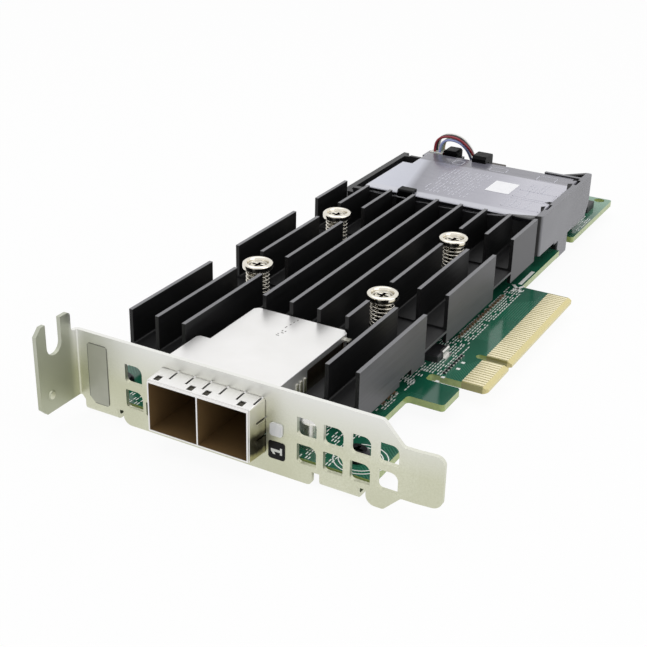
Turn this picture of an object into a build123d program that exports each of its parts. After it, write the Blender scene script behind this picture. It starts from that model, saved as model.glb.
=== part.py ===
"""Low-profile PCIe RAID controller card: bracket, twin-port cage, finned heat sink, battery tray.

Millimetres. X runs along the bracket from its tab to the edge connector's side, Y from the
bracket's face to the rear of the board, and Z up from the bracket's lower edge, with the
components on top. Every place below is given from the corner where the tab folds off the face,
and the three base planes put the middle of the whole card over the origin.
"""

import os
from math import pi, radians, tan

from build123d import *

os.makedirs("parts", exist_ok=True)

# Bracket: one sheet, with its tab folded forward and two ears folded back under the board
sheet = 0.9
bracket_length = 80.2
bracket_height = 18.4
fold_radius = 0.85
tab_depth = 11.8
tab_bottom = 3.7
tab_rise = 4.45
tab_root = 1.6
tab_slot_width = 4.4
tab_slot_place = 6.8
tab_slot_depth = 7.2
shoulder = 4.1
tongue_bottom = 3.4
tongue_width = 10.6
tongue_length = 7.8
tongue_bend = 5.0
tongue_set_back = 0.45
ear_left = 1.2
ear_width = 8.0
right_ear_share = 0.6958
ear_clearance = 0.2
ear_reach = 10.6
ear_fold_radius = 1.0
relief_width = 1.6
relief_height = 2.9
vent_share = 0.7387
vent_columns = 4
vent_to_pipe = 4.3
vent_to_tongue = 0.7
vent_row_gap = 1.55
vent_bottom = 4.05
left_vent_share = 0.1459
left_vent_slit = 0.9
pipe_side = 2.7
pipe_to_cage = 2.95
pipe_height = 9.75

# Board: a PCIe x8 low-profile card
board_thickness = 1.57
board_clearance = 2.75
board_left = 1.4
board_width = 56.3
board_front = 1.3
board_rear = 167.7
shelf_width = 8.1
shelf_length = 13.4
foot_front = 33.2
foot_length = 8.4
foot_reach = 8.05
finger_front = 44.4
finger_reach = 12.9
first_fingers = 11.65
key_width = 1.9
key_depth = 7.9
second_fingers = 38.65
finger_bevel = 1.15
contact_pitch = 1.0
contact_width = 0.7
contact_length = 3.95
contact_edge_gap = 1.15
contact_thickness = 0.05
first_contact_count = 11
second_contact_count = 38
rear_hole_radius = 1.45
rear_hole_inset = 3.1
rear_hole_from_rear = 1.9
screw_from_face = 6.9

# Port cage: two bays in tinplate, standing through the bracket
tin = 0.3
pin_width = 0.7
pin_drop = 0.8
cage_left_share = 0.2631
cage_width = 22.6
cage_height = 10.8
cage_nose = 5.4
cage_rear = 33.5
flange_reach = 2.9
flange_front = 5.0
flange_rear = 15.9
collar_sheet = 0.2
collar_flare = 0.3
collar_front = 4.9
finger_slits = 6
finger_slit_length = 3.3
opening_clearance = 0.12
receptacle_depth = 18.0
card_slot_height = 1.3
card_slot_width = 8.4
card_slot_depth = 7.0
card_slot_rise = 2.6
card_slot_gap = 3.4

# Heat sink: one black extrusion on four sprung screws
sink_left = 2.9
fin_count = 9
fin_pitch = 6.61
fin_thickness = 0.85
fin_top = 18.2
sink_floor = 10.55
sink_underside = 9.1
skirt_bottom = 7.0
sink_front = 13.4
sink_rear = 107.1
bay_gap = 0.9
bay_rear_gap = 0.3
cut_length = 10.95
cut_drop = 0.45
skirt_notch_front = 31.3
skirt_notch_length = 5.5
skirt_notch_top = 8.5
sink_screw_left = 12.1
sink_screw_span = 31.4
sink_screw_front = 48.9
sink_screw_reach = 37.2
sink_screw_radius = 1.45
screw_hole_clearance = 0.15
sink_head_radius = 3.5
sink_head_height = 1.5
sink_head_top = 18.0
neck_radius = 1.95
neck_length = 2.2
cross_width = 0.75
ear_head_radius = 2.6
ear_head_height = 1.8
spring_radius = 2.55
spring_wire = 0.5
nut_across_flats = 5.5
nut_height = 2.55

# Controller and the other parts on the board
substrate = 27.0
substrate_thickness = 1.1
lid = 21.0
lid_thickness = 1.5
pad_thickness = 0.5
memory_width = 7.5
memory_length = 11.0
memory_thickness = 1.1
memory_count = 5
memory_place = 97.0
memory_pitch = 9.4
small_part_rise = 0.55

# Battery tray, hooked through notches in the board's sides
tray_gap = 0.3
tray_side_gap = 0.7
tray_length = 40.2
tray_underside = 7.4
tray_floor = 1.2
tray_wall = 1.6
tray_top = 18.05
tray_left_top = 15.3
tray_front_top = 16.6
tray_corner = 3.2
bay_behind = 5.6
hook_from_front = 16.4
hook_length = 7.2
hook_bottom = 1.2
hook_clearance = 0.25
hook_depth = 2.2
battery_top = 17.75
wrap = 0.2

# Battery leads
lead = 0.7
header_height = 5.2

# Heights and places that follow
board_top = board_clearance + board_thickness
board_right = board_left + board_width
tab_top = bracket_height + tab_rise
fold_reach = fold_radius - sheet / 2
tongue_left = bracket_length - tongue_length
right_ear_left = right_ear_share * bracket_length
cage_left = cage_left_share * bracket_length
cage_top = board_top + cage_height
cage_right = cage_left + cage_width
cage_middle = cage_left + cage_width / 2
pipe_place = (cage_right + pipe_to_cage, pipe_height)
vent_left = pipe_place[0] + vent_to_pipe
vent_pitch = (tongue_left - vent_to_tongue - vent_left) / (vent_columns - 1 + vent_share)
vent = vent_share * vent_pitch
left_vent_left = left_vent_share * bracket_length
pin_places = [(x, y) for x in (cage_left + tin / 2, cage_right - tin / 2) for y in (3.8, 9.6, 14.8, 32.0)]
sink_width = (fin_count - 1) * fin_pitch + fin_thickness
sink_right = sink_left + sink_width
ear_screws = (ear_left + ear_width / 2, right_ear_left + ear_width / 2)
sink_screws = [
    (sink_screw_left + i * sink_screw_span, sink_screw_front + j * sink_screw_reach)
    for i in (0, 1)
    for j in (0, 1)
]

tray_front = sink_rear + tray_gap
tray_rear = tray_front + tray_length
bay_rear = tray_rear - bay_behind
hook_front = tray_front + hook_from_front

origin_x = -(bracket_length - sheet) / 2
origin_y = -(board_rear - tab_depth) / 2
FLOOR = Plane(origin=(origin_x, origin_y, 0))
FRONT = Plane(origin=(origin_x, origin_y, 0), x_dir=(1, 0, 0), z_dir=(0, -1, 0))
SIDE = Plane(origin=(origin_x, origin_y, 0), x_dir=(0, 1, 0), z_dir=(1, 0, 0))
CORNER = (Align.MIN, Align.MIN)


def patch(x_low, x_high, y_low, y_high, mode=Mode.ADD):
    """Adds a rectangle between four limits to the sketch that is open."""
    with Locations((x_low, y_low)):
        Rectangle(x_high - x_low, y_high - y_low, align=CORNER, mode=mode)


def corners(sketch, *places):
    """The sketch's corners that lie on the given places."""
    return ShapeList(
        v for v in sketch.vertices() for x, y in places if abs(v.X - x) < 0.01 and abs(v.Y - y) < 0.01
    )


def finish(builder, name):
    """Names a finished piece and writes its file."""
    builder.part.label = name
    export_step(builder.part, f"parts/{name}.step")


finger_middle = finger_front + first_fingers + key_width / 2
finger_rear = finger_front + first_fingers + key_width + second_fingers
finger_edge = board_right + finger_reach
notch_front = hook_front - hook_clearance
notch_rear = hook_front + hook_length + 3.2

with BuildPart() as board:
    with BuildSketch(FLOOR.offset(board_clearance)) as outline:
        patch(board_left, board_right, board_front, board_rear)
        patch(board_right - 1, board_right + shelf_width, board_front, board_front + shelf_length)
        patch(board_right - 1, board_right + foot_reach, foot_front, foot_front + foot_length)
        patch(board_right - 1, finger_edge, finger_front, finger_rear)
        with Locations((finger_edge, finger_middle)):
            SlotOverall(2 * key_depth, key_width, mode=Mode.SUBTRACT)
        for side in (board_left, board_right):
            with Locations((side, (notch_front + notch_rear) / 2)):
                Rectangle(2 * hook_depth, notch_rear - notch_front, mode=Mode.SUBTRACT)
        fillet(
            corners(
                outline,
                (board_right, board_front + shelf_length),
                (board_right + shelf_width, board_front + shelf_length),
                (board_right, foot_front),
                (board_right + foot_reach, foot_front),
                (board_right + foot_reach, foot_front + foot_length),
                (board_right, foot_front + foot_length),
                (board_right, finger_front),
                (finger_edge, finger_front),
                (finger_edge, finger_rear),
                (board_right, finger_rear),
                (board_right, board_rear),
                (board_left, board_rear),
                (board_right, notch_rear),
                (board_left, notch_rear),
            ),
            radius=0.8,
        )
    extrude(amount=board_thickness)
    with BuildSketch(FRONT.offset(-finger_front)):
        for face, inward in ((board_top, -0.45), (board_clearance, 0.45)):
            with BuildLine():
                Polyline(
                    (finger_edge - finger_bevel, face),
                    (finger_edge, face + inward),
                    (finger_edge, face),
                    close=True,
                )
            make_face()
    extrude(amount=finger_front - finger_rear, mode=Mode.SUBTRACT)
    with BuildSketch(FLOOR.offset(board_top)):
        with Locations(*sink_screws):
            Circle(sink_screw_radius + screw_hole_clearance)
        with Locations(*[(x, screw_from_face) for x in ear_screws]):
            Circle(sink_screw_radius + screw_hole_clearance)
        with Locations((board_right - rear_hole_inset, board_rear - rear_hole_from_rear)):
            Circle(rear_hole_radius)
        with Locations(*pin_places):
            Circle(pin_width / 2 + 0.1)
    extrude(amount=-board_thickness, mode=Mode.SUBTRACT)
finish(board, "board")

# Gold contacts on both faces of the board's finger, in two runs either side of the key notch
contact_x = finger_edge - contact_edge_gap - contact_length / 2
first_run = finger_front + first_fingers / 2
second_run = finger_rear - second_fingers / 2
with BuildPart() as edge_contacts:
    for face, up in ((board_top, 1), (board_clearance, -1)):
        with BuildSketch(FLOOR.offset(face)):
            with Locations((contact_x, first_run)):
                with GridLocations(0, contact_pitch, 1, first_contact_count):
                    Rectangle(contact_length, contact_width)
            with Locations((contact_x, second_run)):
                with GridLocations(0, contact_pitch, 1, second_contact_count):
                    Rectangle(contact_length, contact_width)
        extrude(amount=up * contact_thickness)
finish(edge_contacts, "edge_contacts")

# Bracket: the sheet is drawn as it runs round its folds, then trimmed to its two outlines
opening_grow = collar_sheet + collar_flare + opening_clearance
ear_seam = ear_clearance + sheet / 2 + ear_fold_radius

with BuildPart(mode=Mode.PRIVATE) as trim:
    with BuildSketch(FRONT.offset(-3 * sheet)) as face_outline:
        with BuildLine():
            Polyline(
                (fold_reach, tab_bottom),
                (ear_left, tab_bottom - 0.9),
                (ear_left, 0),
                (tongue_left - tongue_bottom, 0),
                (tongue_left, tongue_bottom),
                (bracket_length, tongue_bottom),
                (bracket_length, tongue_bottom + tongue_width),
                (tongue_left, tongue_bottom + tongue_width),
                (tongue_left - shoulder, bracket_height),
                (fold_reach, bracket_height),
                close=True,
            )
        make_face()
        for left in (ear_left, right_ear_left):
            patch(left - relief_width, left + ear_width + relief_width, -1, ear_seam, mode=Mode.SUBTRACT)
            patch(left + ear_width, left + ear_width + relief_width, 0, relief_height, mode=Mode.SUBTRACT)
        patch(right_ear_left - relief_width, right_ear_left, 0, relief_height, mode=Mode.SUBTRACT)
        fillet(
            corners(
                face_outline,
                (ear_left + ear_width + relief_width, 0),
                (right_ear_left + ear_width + relief_width, 0),
                (bracket_length, tongue_bottom),
                (bracket_length, tongue_bottom + tongue_width),
            ),
            radius=1.9,
        )
        fillet(
            corners(
                face_outline,
                (right_ear_left - relief_width, 0),
                (tongue_left - tongue_bottom, 0),
                (tongue_left, tongue_bottom),
                (tongue_left, tongue_bottom + tongue_width),
                (tongue_left - shoulder, bracket_height),
            ),
            radius=1.0,
        )
    extrude(amount=3 * sheet)
    with BuildSketch(SIDE.offset(-sheet)) as tab_outline:
        patch(-tab_depth, sheet, tab_bottom, bracket_height)
        patch(-tab_depth, -tab_root, tab_bottom, tab_top)
        with Locations((-tab_slot_place, tab_top)):
            Rectangle(tab_slot_width, 2 * tab_slot_depth - tab_slot_width, mode=Mode.SUBTRACT)
        with Locations((-tab_slot_place, tab_top - tab_slot_depth + tab_slot_width / 2)):
            Circle(tab_slot_width / 2, mode=Mode.SUBTRACT)
        chamfer(corners(tab_outline, (-tab_depth, tab_bottom), (-tab_depth, tab_top)), length=1.6)
        fillet(corners(tab_outline, (-tab_root, tab_top), (-tab_root, bracket_height)), radius=0.9)
    extrude(amount=sheet + fold_reach)

with BuildPart() as bracket:
    with BuildSketch(FLOOR):
        with BuildLine():
            FilletPolyline(
                (-sheet / 2, -tab_depth),
                (-sheet / 2, sheet / 2),
                (bracket_length - tongue_bend, sheet / 2),
                (bracket_length, sheet / 2 + tongue_set_back),
                radius=[fold_radius, 5 * fold_radius],
            )
        trace(line_width=sheet)
    extrude(amount=tab_top)
    add(trim.part, mode=Mode.INTERSECT)
    # Ears, folded back below the board, with a tapped boss that meets the board
    for left, screw_x in zip((ear_left, right_ear_left), ear_screws):
        with BuildSketch(SIDE.offset(left)):
            with BuildLine():
                FilletPolyline(
                    (sheet / 2, ear_seam + sheet),
                    (sheet / 2, ear_clearance + sheet / 2),
                    (ear_reach, ear_clearance + sheet / 2),
                    radius=ear_fold_radius,
                )
            trace(line_width=sheet)
        extrude(amount=ear_width)
        with BuildSketch(FLOOR.offset(ear_clearance + sheet)):
            with Locations((screw_x, screw_from_face)):
                Circle(ear_head_radius)
        extrude(amount=board_clearance - ear_clearance - sheet)
    fillet(bracket.edges().filter_by(Axis.Z).group_by(Axis.Y)[-1], radius=1.5)
    with BuildSketch(FLOOR):
        with Locations(*[(x, screw_from_face) for x in ear_screws]):
            Circle(sink_screw_radius + 0.02)
    extrude(amount=board_clearance, mode=Mode.SUBTRACT)
    # Vents, each with one corner drawn to a wide curve, and the openings for the ports and light
    with BuildSketch(FRONT.offset(-2 * sheet)) as openings:
        with BuildSketch(mode=Mode.PRIVATE) as vent_shape:
            Rectangle(vent, vent)
            fillet(vent_shape.vertices().sort_by(Axis.X)[2:].sort_by(Axis.Y)[-1], radius=1.5)
            fillet(vent_shape.vertices().group_by(Axis.Y)[0].sort_by(Axis.X)[0], radius=0.9)
        rows = [vent_bottom + vent / 2 + row * (vent + vent_row_gap) for row in (0, 1)]
        columns = [vent_left + vent / 2 + column * vent_pitch for column in range(vent_columns)]
        with Locations(*[(x, z) for x in columns + [left_vent_left + vent / 2] for z in rows]):
            add(vent_shape.sketch)
        patch(
            left_vent_left + vent_pitch - 0.7,
            left_vent_left + vent_pitch - 0.7 + left_vent_slit,
            vent_bottom - 0.4,
            vent_bottom + 2.5,
        )
        with Locations((cage_middle, board_top + cage_height / 2)):
            RectangleRounded(cage_width + 2 * opening_grow, cage_height + 2 * opening_grow, 0.9)
        with Locations(pipe_place):
            RectangleRounded(pipe_side + 0.1, pipe_side + 0.1, 0.6)
    extrude(amount=4 * sheet, mode=Mode.SUBTRACT)
finish(bracket, "bracket")

# Two screws hold the board to the ears' bosses
with BuildPart() as bracket_screws:
    with BuildSketch(FLOOR.offset(ear_clearance + 0.1)):
        with Locations(*[(x, screw_from_face) for x in ear_screws]):
            Circle(sink_screw_radius)
    extrude(amount=board_top - ear_clearance - 0.1)
    with BuildSketch(FLOOR.offset(board_top)):
        with Locations(*[(x, screw_from_face) for x in ear_screws]):
            Circle(ear_head_radius)
    extrude(amount=ear_head_height)
    chamfer(bracket_screws.edges().group_by(Axis.Z)[-1], length=0.6)
    with BuildSketch(FLOOR.offset(board_top + ear_head_height)):
        with Locations(*[(x, screw_from_face) for x in ear_screws]):
            Rectangle(ear_head_radius, cross_width)
            Rectangle(cross_width, ear_head_radius)
    extrude(amount=-ear_head_height / 2, mode=Mode.SUBTRACT)
finish(bracket_screws, "bracket_screws")

# Blank name plate and the port number's black plate, stuck on the face
plate_left, plate_right, plate_bottom, plate_top = 2.5, 7.4, 2.7, 16.2
plate_thickness = 0.1
with BuildPart() as name_plate:
    with BuildSketch(FRONT) as plate:
        patch(plate_left, plate_right, plate_bottom, plate_top)
        chamfer(corners(plate, (plate_left, plate_bottom)), length=1.4)
        fillet(
            corners(plate, (plate_right, plate_top), (plate_right, plate_bottom), (plate_left, plate_top)),
            radius=0.7,
        )
    extrude(amount=plate_thickness)
finish(name_plate, "name_plate")

with BuildPart() as port_number_plate:
    with BuildSketch(FRONT):
        with Locations((pipe_place[0], 5.15)):
            RectangleRounded(3.6, 3.75, 0.55)
    extrude(amount=plate_thickness)
finish(port_number_plate, "port_number_plate")

# Light pipe: a clear rod from the face to the light on the board
pipe_foot = 10.0
with BuildPart() as light_pipe:
    with BuildSketch(SIDE.offset(pipe_place[0] - pipe_side / 2)) as rod:
        patch(-0.4, pipe_foot, pipe_place[1] - pipe_side / 2, pipe_place[1] + pipe_side / 2)
        patch(pipe_foot - pipe_side, pipe_foot, board_top + small_part_rise, pipe_place[1])
        chamfer(corners(rod, (pipe_foot, pipe_place[1] + pipe_side / 2)), length=0.75 * pipe_side)
    extrude(amount=pipe_side)
    fillet(light_pipe.edges().filter_by(Axis.Y), radius=0.55)
finish(light_pipe, "light_pipe")

with BuildPart() as status_led:
    with BuildSketch(FLOOR.offset(board_top)):
        with Locations((pipe_place[0], pipe_foot - pipe_side / 2)):
            Rectangle(1.6, 0.9)
    extrude(amount=small_part_rise)
finish(status_led, "status_led")

# Port cage: folded tinplate with a wall between its two bays, and pins through the board
cage_front = -cage_nose
bay_width = (cage_width - 3 * tin) / 2
bay_middles = (cage_left + tin + bay_width / 2, cage_right - tin - bay_width / 2)
bay_floor = board_top + tin
bay_ceiling = cage_top - tin

with BuildPart() as port_cage:
    with BuildSketch(FLOOR.offset(board_top)) as cage_plan:
        patch(cage_left, cage_right, cage_front, cage_rear)
        chamfer(corners(cage_plan, (cage_left, cage_rear), (cage_right, cage_rear)), length=1.0)
    extrude(amount=cage_height)
    with BuildSketch(FLOOR.offset(cage_top - tin)) as flange_plan:
        patch(cage_left - flange_reach, cage_left + 1, flange_front, flange_rear)
        chamfer(corners(flange_plan, (cage_left - flange_reach, flange_rear)), length=0.8)
    extrude(amount=tin)
    with BuildSketch(FLOOR.offset(sink_floor + 0.6)):
        patch(cage_left - flange_reach, cage_left - flange_reach + tin, flange_front, flange_rear - 1)
    extrude(amount=cage_top - tin - sink_floor - 0.6)
    fillet(port_cage.edges().filter_by(Axis.Y).group_by(Axis.Z)[-1], radius=0.25)
    with BuildSketch(FRONT.offset(cage_nose)):
        with Locations(*[(x, (bay_floor + bay_ceiling) / 2) for x in bay_middles]):
            Rectangle(bay_width, bay_ceiling - bay_floor)
    extrude(amount=-(cage_nose + cage_rear - tin), mode=Mode.SUBTRACT)
    # Behind the sprung nose the floor ends, and the side walls open round the receptacles
    with BuildSketch(FLOOR.offset(board_top)):
        with Locations(*[(x, (flange_rear + cage_rear) / 2) for x in bay_middles]):
            Rectangle(bay_width, cage_rear - flange_rear - 2 * tin)
    extrude(amount=cage_height / 2, mode=Mode.SUBTRACT)
    with BuildSketch(SIDE.offset(cage_left - 1)):
        patch(flange_rear + 0.4, cage_rear - 2.0, board_top, cage_top - 1.3)
    extrude(amount=1 + 2 * tin, mode=Mode.SUBTRACT)
    with BuildSketch(SIDE.offset(cage_right - 2 * tin)):
        patch(flange_rear + 0.4, cage_rear - 2.0, board_top, cage_top - 1.3)
    extrude(amount=1 + 2 * tin, mode=Mode.SUBTRACT)
    # A turned-out lug, the stiffening folds of the right wall and the pins
    with BuildSketch(FLOOR.offset(cage_top - 1.3)):
        patch(cage_right - tin, cage_right + 1.2, cage_rear - 2.4, cage_rear - 1.0)
    extrude(amount=tin)
    with BuildSketch(FLOOR.offset(board_top)):
        with Locations(*[(cage_right + tin / 2, flange_rear - 0.6 - 1.5 * fold) for fold in range(3)]):
            Rectangle(tin, 0.7)
    extrude(amount=cage_height - 2.5)
    with BuildSketch(FLOOR.offset(board_top + tin)):
        with Locations(*pin_places):
            Rectangle(tin, pin_width)
    extrude(amount=-(tin + board_thickness + pin_drop))
finish(port_cage, "port_cage")

# Collar: a sprung wrap on the cage's nose that flares to meet the bracket's opening
collar_rear = 0.3
finger_pitch = cage_width / finger_slits
window_offsets = (-4.3, 3.3)

with BuildPart() as cage_collar:
    for grow, mode in ((collar_sheet, Mode.ADD), (0, Mode.SUBTRACT)):
        for place, flare in ((collar_front, 0), (-collar_rear, collar_flare)):
            with BuildSketch(FRONT.offset(place)):
                with Locations((cage_middle, board_top + cage_height / 2)):
                    RectangleRounded(
                        cage_width + 2 * (grow + flare),
                        cage_height + 2 * (grow + flare),
                        0.05 + grow + flare,
                    )
        loft(mode=mode)
    # Slits part the wrap into fingers, and the windows hold it to the cage's dimples
    with BuildSketch(FLOOR.offset(board_top - 2)):
        with Locations((cage_middle + 0.44 * finger_pitch, collar_rear - finger_slit_length / 2)):
            with GridLocations(finger_pitch, 0, finger_slits, 1):
                Rectangle(0.45, finger_slit_length)
        for window in window_offsets:
            with Locations(*[(x + window, -0.75 * collar_front) for x in bay_middles]):
                Rectangle(1.3, 1.7)
    extrude(amount=cage_height + 4, mode=Mode.SUBTRACT)
    with BuildSketch(SIDE.offset(cage_left - 2)):
        with Locations((collar_rear - finger_slit_length / 2, board_top + cage_height / 2)):
            with GridLocations(0, cage_height / 3, 1, 2):
                Rectangle(finger_slit_length, 0.45)
    extrude(amount=cage_width + 4, mode=Mode.SUBTRACT)
finish(cage_collar, "cage_collar")

# Receptacles: a black housing in each bay, its two slots open to the front
receptacle_front = cage_rear - tin - receptacle_depth - 0.4
receptacle_rear = receptacle_front + receptacle_depth
slot_middles = [bay_floor + card_slot_rise + rank * card_slot_gap for rank in (0, 1)]

for port, bay_middle in enumerate(bay_middles, start=1):
    with BuildPart() as receptacle:
        with BuildSketch(SIDE.offset(bay_middle - bay_width / 2 + 0.1)) as side_view:
            patch(receptacle_front, receptacle_rear, bay_floor, bay_ceiling - 0.1)
            patch(flange_rear + tin + 0.5, receptacle_rear, board_top, bay_floor + 1)
            chamfer(corners(side_view, (receptacle_rear, bay_ceiling - 0.1)), length=2.0)
        extrude(amount=bay_width - 0.2)
        with BuildSketch(FRONT.offset(-receptacle_front)):
            with Locations(*[(bay_middle, z) for z in slot_middles]):
                Rectangle(card_slot_width, card_slot_height)
        extrude(amount=-card_slot_depth, mode=Mode.SUBTRACT)
    finish(receptacle, f"port_{port}_receptacle")

contact_strip = 0.12
with BuildPart() as port_contacts:
    for z in slot_middles:
        for side in (-1, 1):
            with BuildSketch(FLOOR.offset(z + side * card_slot_height / 2)):
                for bay_middle in bay_middles:
                    with Locations((bay_middle, receptacle_front + card_slot_depth / 2 + 0.2)):
                        with GridLocations(0.8, 0, 10, 1):
                            Rectangle(0.35, card_slot_depth - 0.8)
            extrude(amount=-side * contact_strip)
finish(port_contacts, "port_contacts")

# Heat sink: an extrusion with nine fins, sawn across at the screws and cut back round the cage
sink_middle = sink_left + sink_width / 2
with BuildPart() as heat_sink:
    with BuildSketch(FRONT.offset(-sink_front)) as section:
        patch(sink_left, sink_right, sink_underside, sink_floor)
        with Locations((sink_middle, (skirt_bottom + fin_top) / 2)):
            with GridLocations(sink_width - fin_thickness, 0, 2, 1):
                Rectangle(fin_thickness, fin_top - skirt_bottom)
        with Locations((sink_middle, (sink_underside + fin_top) / 2)):
            with GridLocations(fin_pitch, 0, fin_count, 1):
                Rectangle(fin_thickness, fin_top - sink_underside)
        fillet(section.vertices().group_by(Axis.Y)[-2], radius=0.4)
    extrude(amount=sink_front - sink_rear)
    with BuildSketch(FLOOR):
        patch(
            cage_left - bay_gap - 0.4,
            cage_right + bay_gap + 0.3,
            sink_front - 1,
            cage_rear + bay_rear_gap,
        )
    extrude(amount=fin_top + 1, mode=Mode.SUBTRACT)
    for cut_middle in (sink_screw_front, sink_screw_front + sink_screw_reach):
        cut_front = cut_middle - cut_length / 2 - 0.3
        with BuildSketch(FLOOR.offset(sink_floor - cut_drop)):
            patch(sink_left - 1, sink_screw_left + 9.0, cut_front, cut_front + cut_length)
            patch(
                sink_screw_left + sink_screw_span - sink_head_radius,
                sink_right + 1,
                cut_front,
                cut_front + cut_length,
            )
        extrude(amount=fin_top, mode=Mode.SUBTRACT)
        with BuildSketch(FLOOR.offset(sink_underside + 0.4)):
            patch(sink_left - 1, sink_left + 4, cut_front, cut_front + cut_length)
            patch(sink_right - 4, sink_right + 1, cut_front, cut_front + cut_length)
        extrude(amount=-sink_underside, mode=Mode.SUBTRACT)
    with BuildSketch(SIDE.offset(sink_left - 1)):
        patch(skirt_notch_front, skirt_notch_front + skirt_notch_length, 0, skirt_notch_top)
    extrude(amount=sink_width + 2, mode=Mode.SUBTRACT)
    # The underside has a raised square over the controller, and the screws pass through the floor
    with BuildSketch(FLOOR.offset(sink_underside)):
        with Locations((sink_screw_left + sink_screw_span / 2, sink_screw_front + sink_screw_reach / 2)):
            RectangleRounded(lid + 3, lid + 3, 1.5)
    extrude(amount=board_top + substrate_thickness + lid_thickness + pad_thickness - sink_underside)
    with BuildSketch(FLOOR):
        with Locations(*sink_screws):
            Circle(sink_screw_radius + screw_hole_clearance)
    extrude(amount=fin_top, mode=Mode.SUBTRACT)
finish(heat_sink, "heat_sink")

# Four shoulder screws, each through a spring, into hexagonal nuts under the board
screw_seat = sink_floor - cut_drop
head_base = sink_head_top - sink_head_height
nut_bottom = board_clearance - nut_height

with BuildPart(mode=Mode.PRIVATE) as sink_screw:
    with BuildSketch(Plane.XZ):
        with BuildLine():
            Polyline(
                (0, nut_bottom),
                (sink_screw_radius, nut_bottom),
                (sink_screw_radius, head_base - neck_length),
                (neck_radius, head_base - neck_length),
                (neck_radius, head_base),
                (sink_head_radius, head_base),
                (sink_head_radius, sink_head_top),
                (0, sink_head_top),
                close=True,
            )
        make_face()
    revolve(axis=Axis.Z)
    chamfer(sink_screw.edges().group_by(Axis.Z)[-1], length=0.3)
    with BuildSketch(Plane.XY.offset(sink_head_top)):
        Rectangle(sink_head_radius, cross_width)
        Rectangle(cross_width, sink_head_radius)
    extrude(amount=-1.1, mode=Mode.SUBTRACT)

with BuildPart(FLOOR) as heat_sink_screws:
    with Locations(*[(x, y, 0) for x, y in sink_screws]):
        add(sink_screw.part)
finish(heat_sink_screws, "heat_sink_screws")

with BuildPart() as screw_springs:
    with BuildSketch(FLOOR.offset(screw_seat)):
        with Locations(*sink_screws):
            Circle(spring_radius + spring_wire / 2)
            Circle(spring_radius - spring_wire / 2, mode=Mode.SUBTRACT)
    extrude(amount=head_base - screw_seat)
finish(screw_springs, "screw_springs")

with BuildPart() as heat_sink_nuts:
    with BuildSketch(FLOOR.offset(nut_bottom)):
        with Locations(*sink_screws):
            RegularPolygon(nut_across_flats / 2, 6, major_radius=False)
            Circle(sink_screw_radius + 0.02, mode=Mode.SUBTRACT)
    extrude(amount=nut_height)
finish(heat_sink_nuts, "heat_sink_nuts")

# Controller: a square package with a bare lid, and the soft pad that joins it to the heat sink
controller = (sink_screw_left + sink_screw_span / 2, sink_screw_front + sink_screw_reach / 2)

with BuildPart() as controller_substrate:
    with BuildSketch(FLOOR.offset(board_top)):
        with Locations(controller):
            Rectangle(substrate, substrate)
    extrude(amount=substrate_thickness)
finish(controller_substrate, "controller_substrate")

with BuildPart() as controller_lid:
    with BuildSketch(FLOOR.offset(board_top + substrate_thickness)):
        with Locations(controller):
            RectangleRounded(lid, lid, 1.0)
    extrude(amount=lid_thickness)
    chamfer(controller_lid.edges().group_by(Axis.Z)[-1], length=0.3)
finish(controller_lid, "controller_lid")

with BuildPart() as thermal_pad:
    with BuildSketch(FLOOR.offset(board_top + substrate_thickness + lid_thickness)):
        with Locations(controller):
            Rectangle(lid - 1, lid - 1)
    extrude(amount=pad_thickness)
finish(thermal_pad, "thermal_pad")

with BuildPart() as memory_chips:
    with BuildSketch(FLOOR.offset(board_top)):
        with Locations((controller[0], memory_place)):
            with GridLocations(memory_pitch, 0, memory_count, 1):
                Rectangle(memory_width, memory_length)
    extrude(amount=memory_thickness)
    chamfer(memory_chips.edges().group_by(Axis.Z)[-1], length=0.15)
finish(memory_chips, "memory_chips")

# Power parts beside the controller, under the heat sink
inductor = 6.0
with BuildPart() as power_inductors:
    with BuildSketch(FLOOR.offset(board_top)):
        with Locations((board_left + 5.6, controller[1] - 2)):
            with GridLocations(0, inductor + 1.6, 1, 3):
                Rectangle(inductor, inductor)
    extrude(amount=2.8)
    fillet(power_inductors.edges().filter_by(Axis.Z), radius=0.6)
finish(power_inductors, "power_inductors")

with BuildPart() as power_regulators:
    with BuildSketch(FLOOR.offset(board_top)):
        with Locations((board_left + 5.6, controller[1] - 16.5), (board_left + 5.6, controller[1] + 14.5)):
            Rectangle(5.0, 6.0)
    extrude(amount=0.95)
finish(power_regulators, "power_regulators")

# A round capacitor by the bracket, and one black block with its terminal by the edge contacts
can_place = (pipe_place[0] + 3.75, screw_from_face - 0.3)
can_radius = 2.0
can_base = 0.8
with BuildPart() as can_capacitor:
    with BuildSketch(FLOOR.offset(board_top)) as base:
        with Locations(can_place):
            Rectangle(2.15 * can_radius, 2.15 * can_radius)
        chamfer(base.vertices().group_by(Axis.X)[-1], length=0.9)
    extrude(amount=can_base)
    with BuildSketch(FLOOR.offset(board_top + can_base)):
        with Locations(can_place):
            Circle(can_radius)
    extrude(amount=4.6)
    chamfer(can_capacitor.edges().group_by(Axis.Z)[-1], length=0.25)
finish(can_capacitor, "can_capacitor")

block_left = board_right - 5.3
block_right = board_right - 0.7
block_front = sink_screw_front + 0.4
block_length = 6.0
block_height = 1.6
with BuildPart() as polymer_capacitor:
    with BuildSketch(FLOOR.offset(board_top)):
        patch(block_left, block_right, block_front, block_front + block_length)
    extrude(amount=block_height)
    chamfer(polymer_capacitor.edges().group_by(Axis.Z)[-1], length=0.25)
finish(polymer_capacitor, "polymer_capacitor")

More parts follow.
